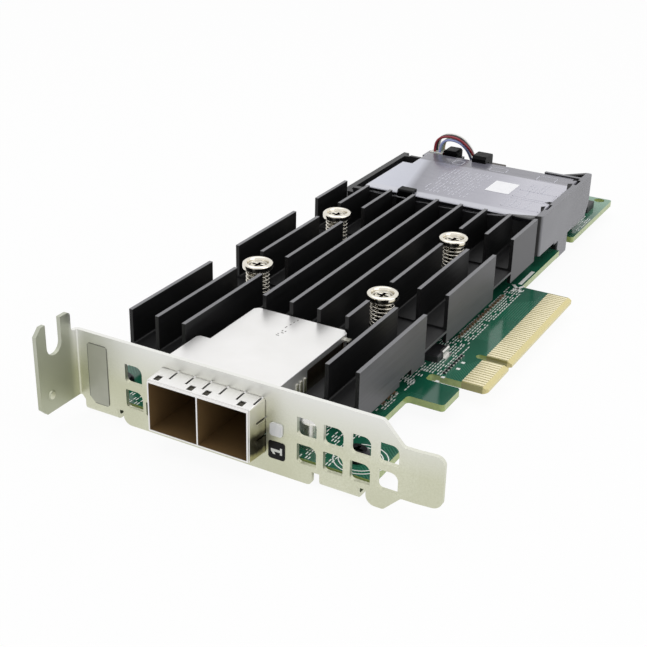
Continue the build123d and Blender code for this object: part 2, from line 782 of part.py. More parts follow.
terminal = 0.24
terminal_middle = block_right + terminal / 2
with BuildPart() as capacitor_terminal:
    with BuildSketch(FRONT.offset(-block_front - 2.4)):
        with BuildLine():
            FilletPolyline(
                (block_right + 0.95, board_top + terminal / 2),
                (terminal_middle, board_top + terminal / 2),
                (terminal_middle, board_top + block_height + terminal / 2),
                (block_right - 0.6, board_top + block_height + terminal / 2),
                radius=0.3,
            )
        trace(line_width=terminal)
    extrude(amount=-3.3)
finish(capacitor_terminal, "capacitor_terminal")

# Rows of small ceramic capacitors and resistors on the open strips of the board
with BuildPart() as row_capacitors:
    with BuildSketch(FLOOR.offset(board_top)):
        with Locations((board_right - 1.6, sink_screw_front + 27.0)):
            with GridLocations(0, 1.5, 1, 18):
                Rectangle(1.0, 0.5)
        with Locations((board_right - 2.9, 30.0)):
            with GridLocations(0, 2.4, 1, 3):
                Rectangle(1.6, 0.8)
    extrude(amount=0.5)
finish(row_capacitors, "row_capacitors")

with BuildPart() as row_resistors:
    with BuildSketch(FLOOR.offset(board_top)):
        with Locations((board_right + 2.5, 50.4)):
            with GridLocations(0, 1.3, 1, 8):
                Rectangle(1.0, 0.5)
    extrude(amount=0.4)
finish(row_resistors, "row_resistors")

with BuildPart() as underside_capacitors:
    with BuildSketch(FLOOR.offset(board_clearance)):
        with Locations(controller):
            with GridLocations(3.2, 3.2, 6, 6):
                Rectangle(1.0, 0.5)
        with Locations((board_right + 1.6, second_run)):
            with GridLocations(0, 2.0, 1, 16):
                Rectangle(1.0, 0.5)
    extrude(amount=-0.5)
finish(underside_capacitors, "underside_capacitors")

# Packages on the board's rear, beyond and below the tray
rear_packages = (
    ("flash_chip", (10.5, 157.0), (9.0, 12.0), 1.0),
    ("controller_memory_chip", (31.5, 126.0), (14.0, 18.0), 1.2),
    ("charger_chip", (board_right - 5.1, 156.6), (4.8, 5.7), 1.9),
    ("clock_crystal", (13.5, 36.0), (5.0, 3.2), 1.1),
)
for package_name, place, (width, length), height in rear_packages:
    with BuildPart() as package:
        with BuildSketch(FLOOR.offset(board_top)):
            with Locations(place):
                Rectangle(width, length)
        extrude(amount=height)
        chamfer(package.edges().group_by(Axis.Z)[-1], length=0.2)
    finish(package, package_name)

# Battery tray: a moulded tub on posts, with hooked legs through the notches in the board's sides
tray_left = board_left + tray_side_gap
tray_right = board_right - tray_side_gap
tub_floor = tray_underside + tray_floor
pack_left = 11.4
pack_right = tray_right - tray_wall - 0.4
pack_front = tray_front + tray_wall + 2.2
shelf_top = 15.5
shelf_right = 20.2
well_right = 23.8
latch_right = 30.0
latch_left = 18.2
latch_width = 4.2
shelf_left = 9.0
left_wall_rear = tray_rear - 2.6
latch_wall = 1.4
rib = 1.0
leg_thickness = hook_depth - tray_side_gap - 0.1

with BuildPart() as battery_tray:
    with BuildSketch(FLOOR.offset(tray_underside)) as tub:
        with BuildLine():
            Polyline(
                (tray_left, tray_front),
                (tray_right - 7.6, tray_front),
                (tray_right, tray_front + 2.4),
                (tray_right, tray_rear),
                (tray_left, tray_rear),
                close=True,
            )
        make_face()
        chamfer(corners(tub, (tray_left, tray_front), (tray_left, tray_rear)), length=1.6)
        fillet(corners(tub, (tray_right, tray_front + 2.4), (tray_right, tray_rear)), radius=0.7)
        fillet(corners(tub, (tray_right - 7.6, tray_front)), radius=tray_corner)
    extrude(amount=tray_top - tray_underside)
    with BuildSketch(FLOOR.offset(tub_floor)):
        offset(tub.sketch_local, amount=-tray_wall)
        patch(tray_left, tray_right, tray_front, bay_rear, mode=Mode.INTERSECT)
    extrude(amount=tray_top, mode=Mode.SUBTRACT)
    # The left wall and the front wall stop lower than the right one
    with BuildSketch(FLOOR.offset(tray_left_top)):
        patch(tray_left - 1, tray_left + 2 * tray_wall, tray_front - 1, tray_rear + 1)
    extrude(amount=tray_top, mode=Mode.SUBTRACT)
    with BuildSketch(FLOOR.offset(tray_front_top)):
        patch(tray_left, tray_right - tray_wall, tray_front - 1, pack_front)
    extrude(amount=tray_top, mode=Mode.SUBTRACT)
    # Behind the cells: pockets between ribs, the leads' well and a shelf for the battery's board
    with BuildSketch(FLOOR.offset(tub_floor)):
        for left, right in (
            (tray_left + tray_wall, shelf_right - rib),
            (well_right + rib, latch_right - rib),
            (latch_right, tray_right - tray_wall - 9.0),
            (tray_right - tray_wall - 8.0, tray_right - tray_wall),
        ):
            patch(left, right, bay_rear + rib, tray_rear - tray_wall)
    extrude(amount=tray_top, mode=Mode.SUBTRACT)
    with BuildSketch(FLOOR):
        patch(shelf_right, well_right, bay_rear + rib, tray_rear + 1)
    extrude(amount=tray_top + 1, mode=Mode.SUBTRACT)
    with BuildSketch(FLOOR.offset(shelf_top)):
        patch(tray_left, tray_right - tray_wall - 9.9, bay_rear, tray_rear + 1)
    extrude(amount=tray_top, mode=Mode.SUBTRACT)
    with BuildSketch(FLOOR.offset(tray_underside + 2 * tray_floor)):
        patch(tray_left - 1, shelf_left, left_wall_rear, tray_rear + 1)
    extrude(amount=tray_top, mode=Mode.SUBTRACT)
    with BuildSketch(FRONT.offset(-bay_rear - rib)):
        with BuildLine():
            Polyline(
                (tray_right - tray_wall, tray_top),
                (tray_right - tray_wall - 10.0, shelf_top),
                (tray_right - tray_wall - 10.0, tray_top),
                close=True,
            )
        make_face()
    extrude(amount=bay_rear - tray_rear, mode=Mode.SUBTRACT)
    # The lower rear edge slopes up, and the front wall has the gap for its latch
    with BuildSketch(SIDE.offset(tray_left - 1)):
        with BuildLine():
            Polyline(
                (tray_rear - 2.6, tray_underside),
                (tray_rear, tray_underside + 3.8),
                (tray_rear + 1, tray_underside),
                close=True,
            )
        make_face()
    extrude(amount=tray_right - tray_left + 2, mode=Mode.SUBTRACT)
    with BuildSketch(FLOOR.offset(tub_floor)):
        patch(latch_left - 0.1, latch_left + latch_width + 0.1, tray_front - 1, tray_front + tray_wall)
    extrude(amount=tray_top, mode=Mode.SUBTRACT)
    # Notches in the right wall's upper edge
    with BuildSketch(FLOOR.offset(tray_top - 1.6)):
        with Locations((tray_right - tray_wall, (tray_front + bay_rear) / 2 + 2.9)):
            with GridLocations(0, 21.8, 1, 2):
                Rectangle(1.6, 4.0)
    extrude(amount=2.0, mode=Mode.SUBTRACT)
    # Legs with hooks that close under the board
    for inner, outer, catch in (
        (tray_right - leg_thickness, tray_right, tray_right - leg_thickness - 1.2),
        (tray_left + leg_thickness, tray_left, tray_left + leg_thickness + 1.2),
    ):
        with BuildSketch(FRONT.offset(-hook_front)):
            with BuildLine():
                Polyline(
                    (outer, tray_underside + 0.1),
                    (outer, hook_bottom + 0.5),
                    (inner, hook_bottom),
                    (catch, board_clearance - 0.5),
                    (catch, board_clearance - 0.1),
                    (inner, board_clearance - 0.1),
                    (inner, tray_underside + 0.1),
                    close=True,
                )
            make_face()
        extrude(amount=-hook_length)
    with BuildSketch(FLOOR.offset(board_top)):
        with Locations(((tray_left + tray_right) / 2, (tray_front + tray_rear) / 2)):
            with GridLocations(tray_right - tray_left - 9.0, tray_length - 8.0, 2, 2):
                Circle(1.9)
    extrude(amount=tray_underside - board_top)
    with BuildSketch(SIDE.offset(tray_right - tray_wall)):
        patch(tray_front + 13.4, tray_rear - 2.6, tray_underside - 0.6, tray_underside + 0.1)
    extrude(amount=tray_wall)
finish(battery_tray, "battery_tray")

# Battery: two flat cells side by side, wrapped in film, and the small board behind them
pack_middle = (pack_left + pack_right) / 2
with BuildPart() as battery_cells:
    with BuildSketch(FLOOR.offset(tub_floor)):
        with Locations((pack_middle, (pack_front + bay_rear) / 2)):
            with GridLocations((pack_right - pack_left) / 2, 0, 2, 1):
                Rectangle((pack_right - pack_left) / 2 - 0.3, bay_rear - pack_front - 0.4)
    extrude(amount=battery_top - wrap - tub_floor)
    fillet(battery_cells.edges().filter_by(Axis.Y), radius=1.0)
finish(battery_cells, "battery_cells")

film_flap = 3.0
with BuildPart() as battery_wrap:
    with BuildSketch(FLOOR.offset(tray_front_top)) as film:
        patch(pack_left - wrap, pack_right + wrap, tray_front + 0.2, bay_rear)
        patch(pack_left - film_flap, pack_left + 2, tray_front + 0.2, tray_front + 23.4)
        fillet(
            corners(film, (pack_right + wrap, tray_front + 0.2), (pack_left - film_flap, tray_front + 0.2)),
            radius=1.2,
        )
        patch(
            latch_left - 0.2,
            latch_left + latch_width + 0.2,
            tray_front,
            tray_front + tray_wall + 0.1,
            mode=Mode.SUBTRACT,
        )
    extrude(amount=battery_top - tray_front_top)
    fillet(battery_wrap.edges().group_by(Axis.Z)[-1], radius=0.4)
    with BuildSketch(FLOOR.offset(tray_front_top)):
        offset(film.sketch_local, amount=-wrap)
    extrude(amount=battery_top - tray_front_top - wrap, mode=Mode.SUBTRACT)
finish(battery_wrap, "battery_wrap")

with BuildPart() as blank_sticker:
    with BuildSketch(FLOOR.offset(battery_top)):
        with Locations((pack_middle + 6.9, pack_front + 13.9)):
            Rectangle(6.5, 8.4)
    extrude(amount=0.1)
finish(blank_sticker, "blank_sticker")

battery_board_thickness = 1.0
with BuildPart() as battery_board:
    with BuildSketch(FLOOR.offset(shelf_top)):
        patch(shelf_left + 0.2, shelf_right - 0.3, bay_rear + 0.2, tray_rear - 0.3)
    extrude(amount=battery_board_thickness)
finish(battery_board, "battery_board")

# Latches: black clips that stand in the tray and reach over the battery
latch_reach = 1.5
latch_lip = 0.8
grip = 1.75
with BuildPart() as front_latch:
    with BuildSketch(SIDE.offset(latch_left)) as clip:
        patch(tray_front + 0.1, tray_front + latch_wall, tub_floor, battery_top + latch_lip)
        patch(tray_front + 0.1, tray_front + latch_wall + latch_reach, battery_top, battery_top + latch_lip)
        fillet(corners(clip, (tray_front + 0.1, battery_top + latch_lip)), radius=0.5)
    extrude(amount=latch_width)
finish(front_latch, "front_latch")

with BuildPart() as rear_latch:
    with BuildSketch(SIDE.offset(well_right + rib + 0.1)) as clip:
        patch(bay_rear + rib + 0.1, tray_rear - tray_wall - 0.1, tub_floor, battery_top + 0.1)
        patch(bay_rear - latch_reach, tray_rear - tray_wall - 0.1, battery_top, battery_top + grip)
        fillet(corners(clip, (tray_rear - tray_wall - 0.1, battery_top + grip)), radius=0.9)
        chamfer(corners(clip, (bay_rear - latch_reach, battery_top + grip)), length=0.7)
    extrude(amount=latch_right - well_right - 2 * rib - 0.2)
finish(rear_latch, "rear_latch")

# Connectors of the battery's leads, on its own board and on the card
battery_board_top = shelf_top + battery_board_thickness
with BuildPart() as battery_plug:
    with BuildSketch(FLOOR.offset(battery_board_top)) as plug:
        patch(15.2, 19.3, bay_rear + 1.0, tray_rear - 0.6)
    extrude(amount=2.4)
    chamfer(battery_plug.edges().group_by(Axis.Z)[-1].filter_by(Axis.Y), length=0.5)
finish(battery_plug, "battery_plug")

socket_top = battery_board_top + 1.2
with BuildPart() as battery_socket:
    with BuildSketch(FLOOR.offset(battery_board_top)):
        patch(11.1, 14.9, bay_rear + 0.7, tray_rear - 0.6)
    extrude(amount=socket_top - battery_board_top)
finish(battery_socket, "battery_socket")

header_front = bay_rear + 20.2
with BuildPart() as board_header:
    with BuildSketch(FLOOR.offset(board_top)):
        patch(17.6, 25.6, header_front, header_front + 4.2)
    extrude(amount=header_height)
    fillet(board_header.edges().filter_by(Axis.Z), radius=0.4)
finish(board_header, "board_header")

# Battery leads: three outer and three inner loops from the battery's socket to the card's header
# Each point is X, then Y from the rear of the battery's bay, and Z
outer_loop = (
    (12.2, 1.8, socket_top),
    (12.1, 1.8, 19.8),
    (13.3, 1.9, 21.8),
    (16.0, 2.2, 22.6),
    (19.2, 2.8, 22.0),
    (21.7, 3.8, 19.6),
    (23.1, 5.3, 16.4),
    (23.9, 7.9, 12.4),
    (24.4, 11.6, 9.2),
    (24.6, 16.0, 7.3),
    (24.6, header_front - bay_rear, 7.0),
)
inner_loop = (
    (13.7, 1.8, socket_top),
    (13.7, 1.8, 19.4),
    (14.8, 1.9, 21.2),
    (17.0, 2.3, 21.7),
    (19.4, 3.0, 20.9),
    (21.0, 4.3, 18.8),
    (21.7, 6.2, 15.5),
    (21.8, 8.7, 12.2),
    (21.6, 11.9, 9.3),
    (21.2, 16.0, 7.4),
    (21.0, header_front - bay_rear, 7.0),
)
lead_rows = (("red", "black", "white"), ("blue", "green", "tan"))
socket_pitch = 1.4
header_pitch = 1.2

for loop, colours in zip((outer_loop, inner_loop), lead_rows):
    for row, colour in enumerate(colours):
        shares = [(step / (len(loop) - 1)) ** 2 for step in range(len(loop))]
        places = [
            FLOOR.from_local_coords(
                Vector(x - header_pitch * row * share, bay_rear + y + socket_pitch * row * (1 - share), z)
            )
            for share, (x, y, z) in zip(shares, loop)
        ]
        runs = [b - a for a, b in zip(places, places[1:])]
        radii = [
            0.45 * min(a.length, b.length) / tan(radians(a.get_angle(b) / 2))
            for a, b in zip(runs, runs[1:])
        ]
        with BuildPart() as battery_lead:
            with BuildLine() as route:
                FilletPolyline(*places, radius=radii)
            run = route.wires()[0]
            with BuildSketch(Plane(origin=run @ 0, z_dir=run % 0)):
                Circle(lead / 2)
            sweep(path=run)
        finish(battery_lead, f"battery_lead_{colour}")
        print(
            f"battery_lead_{colour}: length {run.length:.2f},",
            f"section times length {pi * lead**2 / 4 * run.length:.3f},",
            f"volume {battery_lead.part.volume:.3f}, radii",
            ", ".join(f"{radius:.1f}" for radius in radii),
        )
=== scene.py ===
"""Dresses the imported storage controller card: finishes, springs, leads, printed marks and small parts.

Lengths in the sections are millimetres from the corner where the bracket's tab folds off its face:
X runs along the bracket to the edge connector's side, Y to the rear of the board, and Z up.
"""

from math import cos, pi, radians, sin, tau

import bmesh
import bpy
from mathutils import Matrix, Vector


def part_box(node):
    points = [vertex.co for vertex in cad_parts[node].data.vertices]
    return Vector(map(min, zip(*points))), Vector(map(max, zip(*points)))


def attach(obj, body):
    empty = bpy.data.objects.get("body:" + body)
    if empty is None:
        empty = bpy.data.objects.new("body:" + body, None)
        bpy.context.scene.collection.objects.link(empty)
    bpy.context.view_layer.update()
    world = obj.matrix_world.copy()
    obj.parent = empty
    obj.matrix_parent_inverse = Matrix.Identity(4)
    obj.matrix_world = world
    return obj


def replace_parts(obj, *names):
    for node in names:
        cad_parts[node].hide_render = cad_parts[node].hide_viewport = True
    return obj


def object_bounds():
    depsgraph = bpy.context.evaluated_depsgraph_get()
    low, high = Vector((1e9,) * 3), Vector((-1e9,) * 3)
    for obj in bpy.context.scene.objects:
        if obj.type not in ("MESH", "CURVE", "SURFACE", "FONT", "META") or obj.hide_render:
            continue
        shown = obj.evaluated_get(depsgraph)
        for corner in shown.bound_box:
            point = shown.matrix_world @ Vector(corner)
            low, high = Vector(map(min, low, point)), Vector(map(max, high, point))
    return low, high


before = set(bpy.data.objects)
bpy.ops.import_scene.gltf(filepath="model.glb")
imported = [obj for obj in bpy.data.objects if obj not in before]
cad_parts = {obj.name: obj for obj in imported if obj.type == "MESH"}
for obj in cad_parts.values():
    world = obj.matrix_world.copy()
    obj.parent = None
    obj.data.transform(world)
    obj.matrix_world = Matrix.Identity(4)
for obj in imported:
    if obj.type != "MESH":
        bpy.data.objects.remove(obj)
cad_box = [[float(value) for value in corner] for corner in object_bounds()]

# Camera
# A long lens stands ahead of the bracket, to the connector's side and above, as in the photograph.
# The picture was cut from a larger one, so the lens axis lies off its middle by a small shift.
SHEET = 0.9
TAB_DEPTH = 11.8
bracket_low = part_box("bracket")[0]
corner = Vector((bracket_low[0] + SHEET / 1000, bracket_low[1] + TAB_DEPTH / 1000, 0))


def at(x, y, z):
    """Turns a place on the card, in millimetres, into the frame's metres."""
    return corner + Vector((x, y, z)) / 1000


IMAGE_WIDTH = 647
FOCAL_PIXELS = 1248.5
AXIS_PIXEL = (287.33, 329.13)
CAMERA_PLACE = (148.975, -170.822, 128.218)
AZIMUTH, ELEVATION, ROLL = 30.42, 26.16, 0.588

camera_data = bpy.data.cameras.new("camera")
camera_data.sensor_width = 36
camera_data.lens = FOCAL_PIXELS * camera_data.sensor_width / IMAGE_WIDTH
camera_data.shift_x = 0.5 - AXIS_PIXEL[0] / IMAGE_WIDTH
camera_data.shift_y = AXIS_PIXEL[1] / IMAGE_WIDTH - 0.5
camera_data.clip_start = 0.01
camera = bpy.data.objects.new("camera", camera_data)
bpy.context.collection.objects.link(camera)
camera.matrix_world = (
    Matrix.Translation(at(*CAMERA_PLACE))
    @ Matrix.Rotation(radians(AZIMUTH), 4, "Z")
    @ Matrix.Rotation(radians(90 - ELEVATION), 4, "X")
    @ Matrix.Rotation(radians(ROLL), 4, "Z")
)
bpy.context.scene.camera = camera
bpy.context.scene.view_settings.view_transform = "Standard"

# Studio
# A white room: the camera and bright metal see white all round, and the light comes mostly from above.
# One broad lamp overhead and a weaker one on the connector's side shape the fins and the sheet metal.
def add_node(tree, kind, settings={}, sockets={}):
    """Adds a node with its settings, and its sockets each set to a value or linked to an output."""
    made = tree.nodes.new(kind)
    for name, value in settings.items():
        setattr(made, name, value)
    for socket, value in sockets.items():
        if isinstance(value, bpy.types.NodeSocket):
            tree.links.new(value, made.inputs[socket])
        else:
            made.inputs[socket].default_value = value
    return made


def colour(code):
    """Turns an sRGB hex value into Blender's linear colour."""
    channels = [int(code[place : place + 2], 16) / 255 for place in (1, 3, 5)]
    return (*[c / 12.92 if c <= 0.04045 else ((c + 0.055) / 1.055) ** 2.4 for c in channels], 1.0)


world = bpy.data.worlds.new("studio")
bpy.context.scene.world = world
world.use_nodes = True
sky = world.node_tree
sky.nodes.clear()
rays = add_node(sky, "ShaderNodeLightPath")
direction = add_node(sky, "ShaderNodeTexCoord")
rise = add_node(sky, "ShaderNodeSeparateXYZ", {}, {0: direction.outputs["Generated"]})
dome = add_node(sky, "ShaderNodeMapRange", {}, {0: rise.outputs["Z"], 1: -0.4, 2: 0.9, 3: 0.28, 4: 0.72})
room = add_node(sky, "ShaderNodeBackground", {}, {"Color": (1, 1, 1, 1), "Strength": dome.outputs[0]})
paper = add_node(sky, "ShaderNodeBackground", {}, {"Color": (1, 1, 1, 1), "Strength": 1.0})
plain_view = add_node(
    sky,
    "ShaderNodeMath",
    {"operation": "MAXIMUM"},
    {0: rays.outputs["Is Camera Ray"], 1: rays.outputs["Is Glossy Ray"]},
)
direct = add_node(
    sky,
    "ShaderNodeMath",
    {"operation": "MAXIMUM"},
    {0: plain_view.outputs[0], 1: rays.outputs["Is Transmission Ray"]},
)
seen = add_node(
    sky, "ShaderNodeMixShader", {}, {0: direct.outputs[0], 1: room.outputs[0], 2: paper.outputs[0]}
)
add_node(sky, "ShaderNodeOutputWorld", {}, {"Surface": seen.outputs[0]})

# The floor is white paper: the camera sees it lit evenly, with a faint shadow left under the card
FLOOR_SIZE, FLOOR_GAP = 4000, 0.1

floor_paper = bpy.data.materials.new("white_floor_paper")
floor_paper.use_nodes = True
tree = floor_paper.node_tree
tree.nodes.clear()
sheet = add_node(tree, "ShaderNodeBsdfDiffuse", {}, {"Color": colour("#f4f4f4")})
even = add_node(tree, "ShaderNodeEmission", {}, {"Color": (1, 1, 1, 1), "Strength": 1.0})
floor_rays = add_node(tree, "ShaderNodeLightPath")
bounced = add_node(
    tree,
    "ShaderNodeMath",
    {"operation": "MAXIMUM"},
    {0: floor_rays.outputs["Is Glossy Ray"], 1: floor_rays.outputs["Is Transmission Ray"]},
)
looked = add_node(
    tree,
    "ShaderNodeMath",
    {"operation": "MULTIPLY_ADD"},
    {0: floor_rays.outputs["Is Camera Ray"], 1: 0.93, 2: bounced.outputs[0]},
)
lit = add_node(
    tree, "ShaderNodeMixShader", {}, {0: looked.outputs[0], 1: sheet.outputs[0], 2: even.outputs[0]}
)
add_node(tree, "ShaderNodeOutputMaterial", {}, {"Surface": lit.outputs[0]})
bpy.ops.mesh.primitive_plane_add(size=FLOOR_SIZE / 1000, location=(0, 0, cad_box[0][2] - FLOOR_GAP / 1000))
floor = bpy.context.object
floor.name = "floor"
floor.data.materials.append(floor_paper)

for name, place, aim, size, watts in (
    ("overhead_softbox", (-40, 60, 520), (30, 80, 0), 0.55, 1.0),
    ("side_softbox", (480, 60, 260), (40, 60, 10), 0.45, 0.5),
):
    lamp_data = bpy.data.lights.new(name, "AREA")
    lamp_data.shape = "SQUARE"
    lamp_data.size = size
    lamp_data.energy = watts
    lamp = bpy.data.objects.new(name, lamp_data)
    bpy.context.collection.objects.link(lamp)
    lamp.location = at(*place)
    lamp.rotation_euler = (at(*place) - at(*aim)).to_track_quat("Z", "Y").to_euler()


# Board
# Glass-fibre laminate with copper tracks under a green mask: tracks show as paler, slightly raised
# lines, and the sawn edges and the finger's bevel show the bare yellowish laminate.
def material(name):
    """Starts a material with an empty tree and gives its place on the object, in metres."""
    made = bpy.data.materials.new(name)
    made.use_nodes = True
    made.node_tree.nodes.clear()
    return made, made.node_tree, add_node(made.node_tree, "ShaderNodeTexCoord").outputs["Object"]


def dress(finish, *node_names):
    """Gives CAD nodes their finish."""
    for node_name in node_names:
        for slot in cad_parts[node_name].material_slots:
            slot.material = finish


BOARD_BOTTOM, BOARD_TOP = 2.75, 4.32
# What lies this near to a face takes the face's colour
NEAR_FACE = 0.02
TRACK_PITCH = 0.55
REAR_PALE_FROM, REAR_PALE_TO = 150, 166
FINGER_FROM, FINGER_MASK_TO, FINGER_BEVEL_FROM = 44.0, 64.7, 69.45

mask, tree, where = material("green_solder_mask")
parts = add_node(tree, "ShaderNodeSeparateXYZ", {}, {0: where})
cloud = add_node(tree, "ShaderNodeTexNoise", {}, {"Vector": where, "Scale": 1000 / 9, "Detail": 2.0})
green = add_node(
    tree,
    "ShaderNodeMix",
    {"data_type": "RGBA"},
    {"Factor": cloud.outputs[0], 6: colour("#164c3c"), 7: colour("#21694f")},
)
# Tracks run in parallel groups and change direction from patch to patch. A band texture at a scale of
# 1 repeats each tau / 20 metres
patches = add_node(
    tree,
    "ShaderNodeTexVoronoi",
    {"distance": "CHEBYCHEV"},
    {"Vector": where, "Scale": 1000 / 11, "Randomness": 0.8},
)
turn = add_node(tree, "ShaderNodeSeparateColor", {}, {0: patches.outputs["Color"]})
eighth = add_node(tree, "ShaderNodeMath", {"operation": "SNAP"}, {0: turn.outputs[0], 1: 0.25})
angle = add_node(tree, "ShaderNodeMath", {"operation": "MULTIPLY"}, {0: eighth.outputs[0], 1: pi})
turned = add_node(
    tree,
    "ShaderNodeVectorRotate",
    {"rotation_type": "Z_AXIS"},
    {"Vector": where, "Angle": angle.outputs[0]},
)
tracks = add_node(
    tree,
    "ShaderNodeTexWave",
    {"bands_direction": "X", "wave_profile": "SIN"},
    {"Vector": turned.outputs[0], "Scale": tau * 1000 / 20 / TRACK_PITCH},
)
raised = add_node(
    tree, "ShaderNodeMapRange", {}, {0: tracks.outputs[1], 1: 0.62, 2: 0.74, 3: 0.0, 4: 1.0}
)
routed = add_node(tree, "ShaderNodeMapRange", {}, {0: turn.outputs[1], 1: 0.45, 2: 0.5, 3: 0.0, 4: 0.32})
shown = add_node(
    tree, "ShaderNodeMath", {"operation": "MULTIPLY"}, {0: raised.outputs[0], 1: routed.outputs[0]}
)
tracked = add_node(
    tree,
    "ShaderNodeMix",
    {"data_type": "RGBA"},
    {"Factor": shown.outputs[0], 6: green.outputs[2], 7: colour("#4b9377")},
)
# Painted reflection: the board is painted paler over its bare rear corner, where it mirrors the white room
rear_reflection = add_node(
    tree,
    "ShaderNodeMapRange",
    {},
    {0: parts.outputs["Y"], 1: at(0, REAR_PALE_FROM, 0).y, 2: at(0, REAR_PALE_TO, 0).y, 3: 0.0, 4: 0.55},
)
tracked = add_node(
    tree,
    "ShaderNodeMix",
    {"data_type": "RGBA"},
    {"Factor": rear_reflection.outputs[0], 6: tracked.outputs[2], 7: colour("#8fb89c")},
)
weave = add_node(tree, "ShaderNodeTexNoise", {}, {"Vector": where, "Scale": 1000 / 0.8, "Detail": 1.0})
laminate = add_node(
    tree,
    "ShaderNodeMix",
    {"data_type": "RGBA"},
    {"Factor": weave.outputs[0], 6: colour("#8aa05a"), 7: colour("#b3c07c")},
)
above = add_node(
    tree,
    "ShaderNodeMath",
    {"operation": "LESS_THAN"},
    {0: parts.outputs["Z"], 1: (BOARD_TOP - NEAR_FACE) / 1000},
)
below = add_node(
    tree,
    "ShaderNodeMath",
    {"operation": "GREATER_THAN"},
    {0: parts.outputs["Z"], 1: (BOARD_BOTTOM + NEAR_FACE) / 1000},
)
sawn = add_node(
    tree, "ShaderNodeMath", {"operation": "MULTIPLY"}, {0: above.outputs[0], 1: below.outputs[0]}
)
faced = add_node(
    tree,
    "ShaderNodeMix",
    {"data_type": "RGBA"},
    {"Factor": sawn.outputs[0], 6: tracked.outputs[2], 7: laminate.outputs[2]},
)
# The mask stops short of the contacts, so the laminate shows between them, and the bevel cuts it bare
between = add_node(
    tree,
    "ShaderNodeMath",
    {"operation": "GREATER_THAN"},
    {0: parts.outputs["X"], 1: at(FINGER_MASK_TO, 0, 0).x},
)
fingered = add_node(
    tree,
    "ShaderNodeMath",
    {"operation": "GREATER_THAN"},
    {0: parts.outputs["Y"], 1: at(0, FINGER_FROM, 0).y},
)
unmasked = add_node(
    tree, "ShaderNodeMath", {"operation": "MULTIPLY"}, {0: between.outputs[0], 1: fingered.outputs[0]}
)
faced = add_node(
    tree,
    "ShaderNodeMix",
    {"data_type": "RGBA"},
    {"Factor": unmasked.outputs[0], 6: faced.outputs[2], 7: colour("#99935e")},
)
bevelled = add_node(
    tree,
    "ShaderNodeMath",
    {"operation": "GREATER_THAN"},
    {0: parts.outputs["X"], 1: at(FINGER_BEVEL_FROM, 0, 0).x},
)
skin = add_node(
    tree,
    "ShaderNodeMix",
    {"data_type": "RGBA"},
    {"Factor": bevelled.outputs[0], 6: faced.outputs[2], 7: colour("#dccf92")},
)
relief = add_node(
    tree, "ShaderNodeBump", {}, {"Height": shown.outputs[0], "Distance": 0.00004, "Strength": 0.6}
)
surface = add_node(
    tree,
    "ShaderNodeBsdfPrincipled",
    {},
    {"Base Color": skin.outputs[2], "Roughness": 0.13, "IOR": 1.5, "Normal": relief.outputs[0]},
)
add_node(tree, "ShaderNodeOutputMaterial", {}, {"Surface": surface.outputs[0]})
dress(mask, "board", "controller_substrate")

# Edge contacts
# Hard gold over nickel on copper: a pale yellow metal, polished by the slot's springs.
def hazed(name, grain, detail, smooth, rough, sockets):
    """Makes a finish of one colour, whose polish varies by grains of a size in millimetres."""
    finish, tree, where = material(name)
    grains = add_node(
        tree, "ShaderNodeTexNoise", {}, {"Vector": where, "Scale": 1000 / grain, "Detail": detail}
    )
    polish = add_node(
        tree, "ShaderNodeMapRange", {}, {0: grains.outputs[0], 1: 0.3, 2: 0.7, 3: smooth, 4: rough}
    )
    surface = add_node(tree, "ShaderNodeBsdfPrincipled", {}, {**sockets, "Roughness": polish.outputs[0]})
    add_node(tree, "ShaderNodeOutputMaterial", {}, {"Surface": surface.outputs[0]})
    return finish


gold = hazed("hard_gold_plate", 1.4, 3.0, 0.2, 0.34, {"Base Color": colour("#fdf2cb"), "Metallic": 0.5})
dress(gold, "edge_contacts", "port_contacts")

# Bracket
# Cold-rolled steel sheet, 0.9 mm, punched and folded, then zinc plated and passivated: a satin pale
# grey with a faint yellow-green cast and a fine grain from the rolls.
TOP_LIGHT_FROM, TOP_LIGHT_TO = 9.0, 18.0
TAB_SHADE_TO, TAB_MARGIN = 2.4, 0.3

zinc, tree, where = material("zinc_plated_steel")
grain = add_node(tree, "ShaderNodeTexNoise", {}, {"Vector": where, "Scale": 1000 / 0.35, "Detail": 3.0})
cloud = add_node(tree, "ShaderNodeTexNoise", {}, {"Vector": where, "Scale": 1000 / 16, "Detail": 2.0})
mixed = add_node(
    tree, "ShaderNodeMath", {"operation": "MULTIPLY"}, {0: grain.outputs[0], 1: cloud.outputs[0]}
)
share = add_node(tree, "ShaderNodeMapRange", {}, {0: mixed.outputs[0], 1: 0.12, 2: 0.4, 3: 0.0, 4: 1.0})
plated = add_node(
    tree,
    "ShaderNodeMix",
    {"data_type": "RGBA"},
    {"Factor": share.outputs[0], 6: colour("#c6c7ae"), 7: colour("#d6d7c2")},
)
# Its cast fades to a paler grey towards the top edge: painted light, where the overhead lamp falls
parts = add_node(tree, "ShaderNodeSeparateXYZ", {}, {0: where})
top_light_share = add_node(
    tree,
    "ShaderNodeMapRange",
    {},
    {0: parts.outputs["Z"], 1: TOP_LIGHT_FROM / 1000, 2: TOP_LIGHT_TO / 1000, 3: 0.0, 4: 0.85},
)
plated = add_node(
    tree,
    "ShaderNodeMix",
    {"data_type": "RGBA"},
    {"Factor": top_light_share.outputs[0], 6: plated.outputs[2], 7: colour("#e9e9e7")},
)
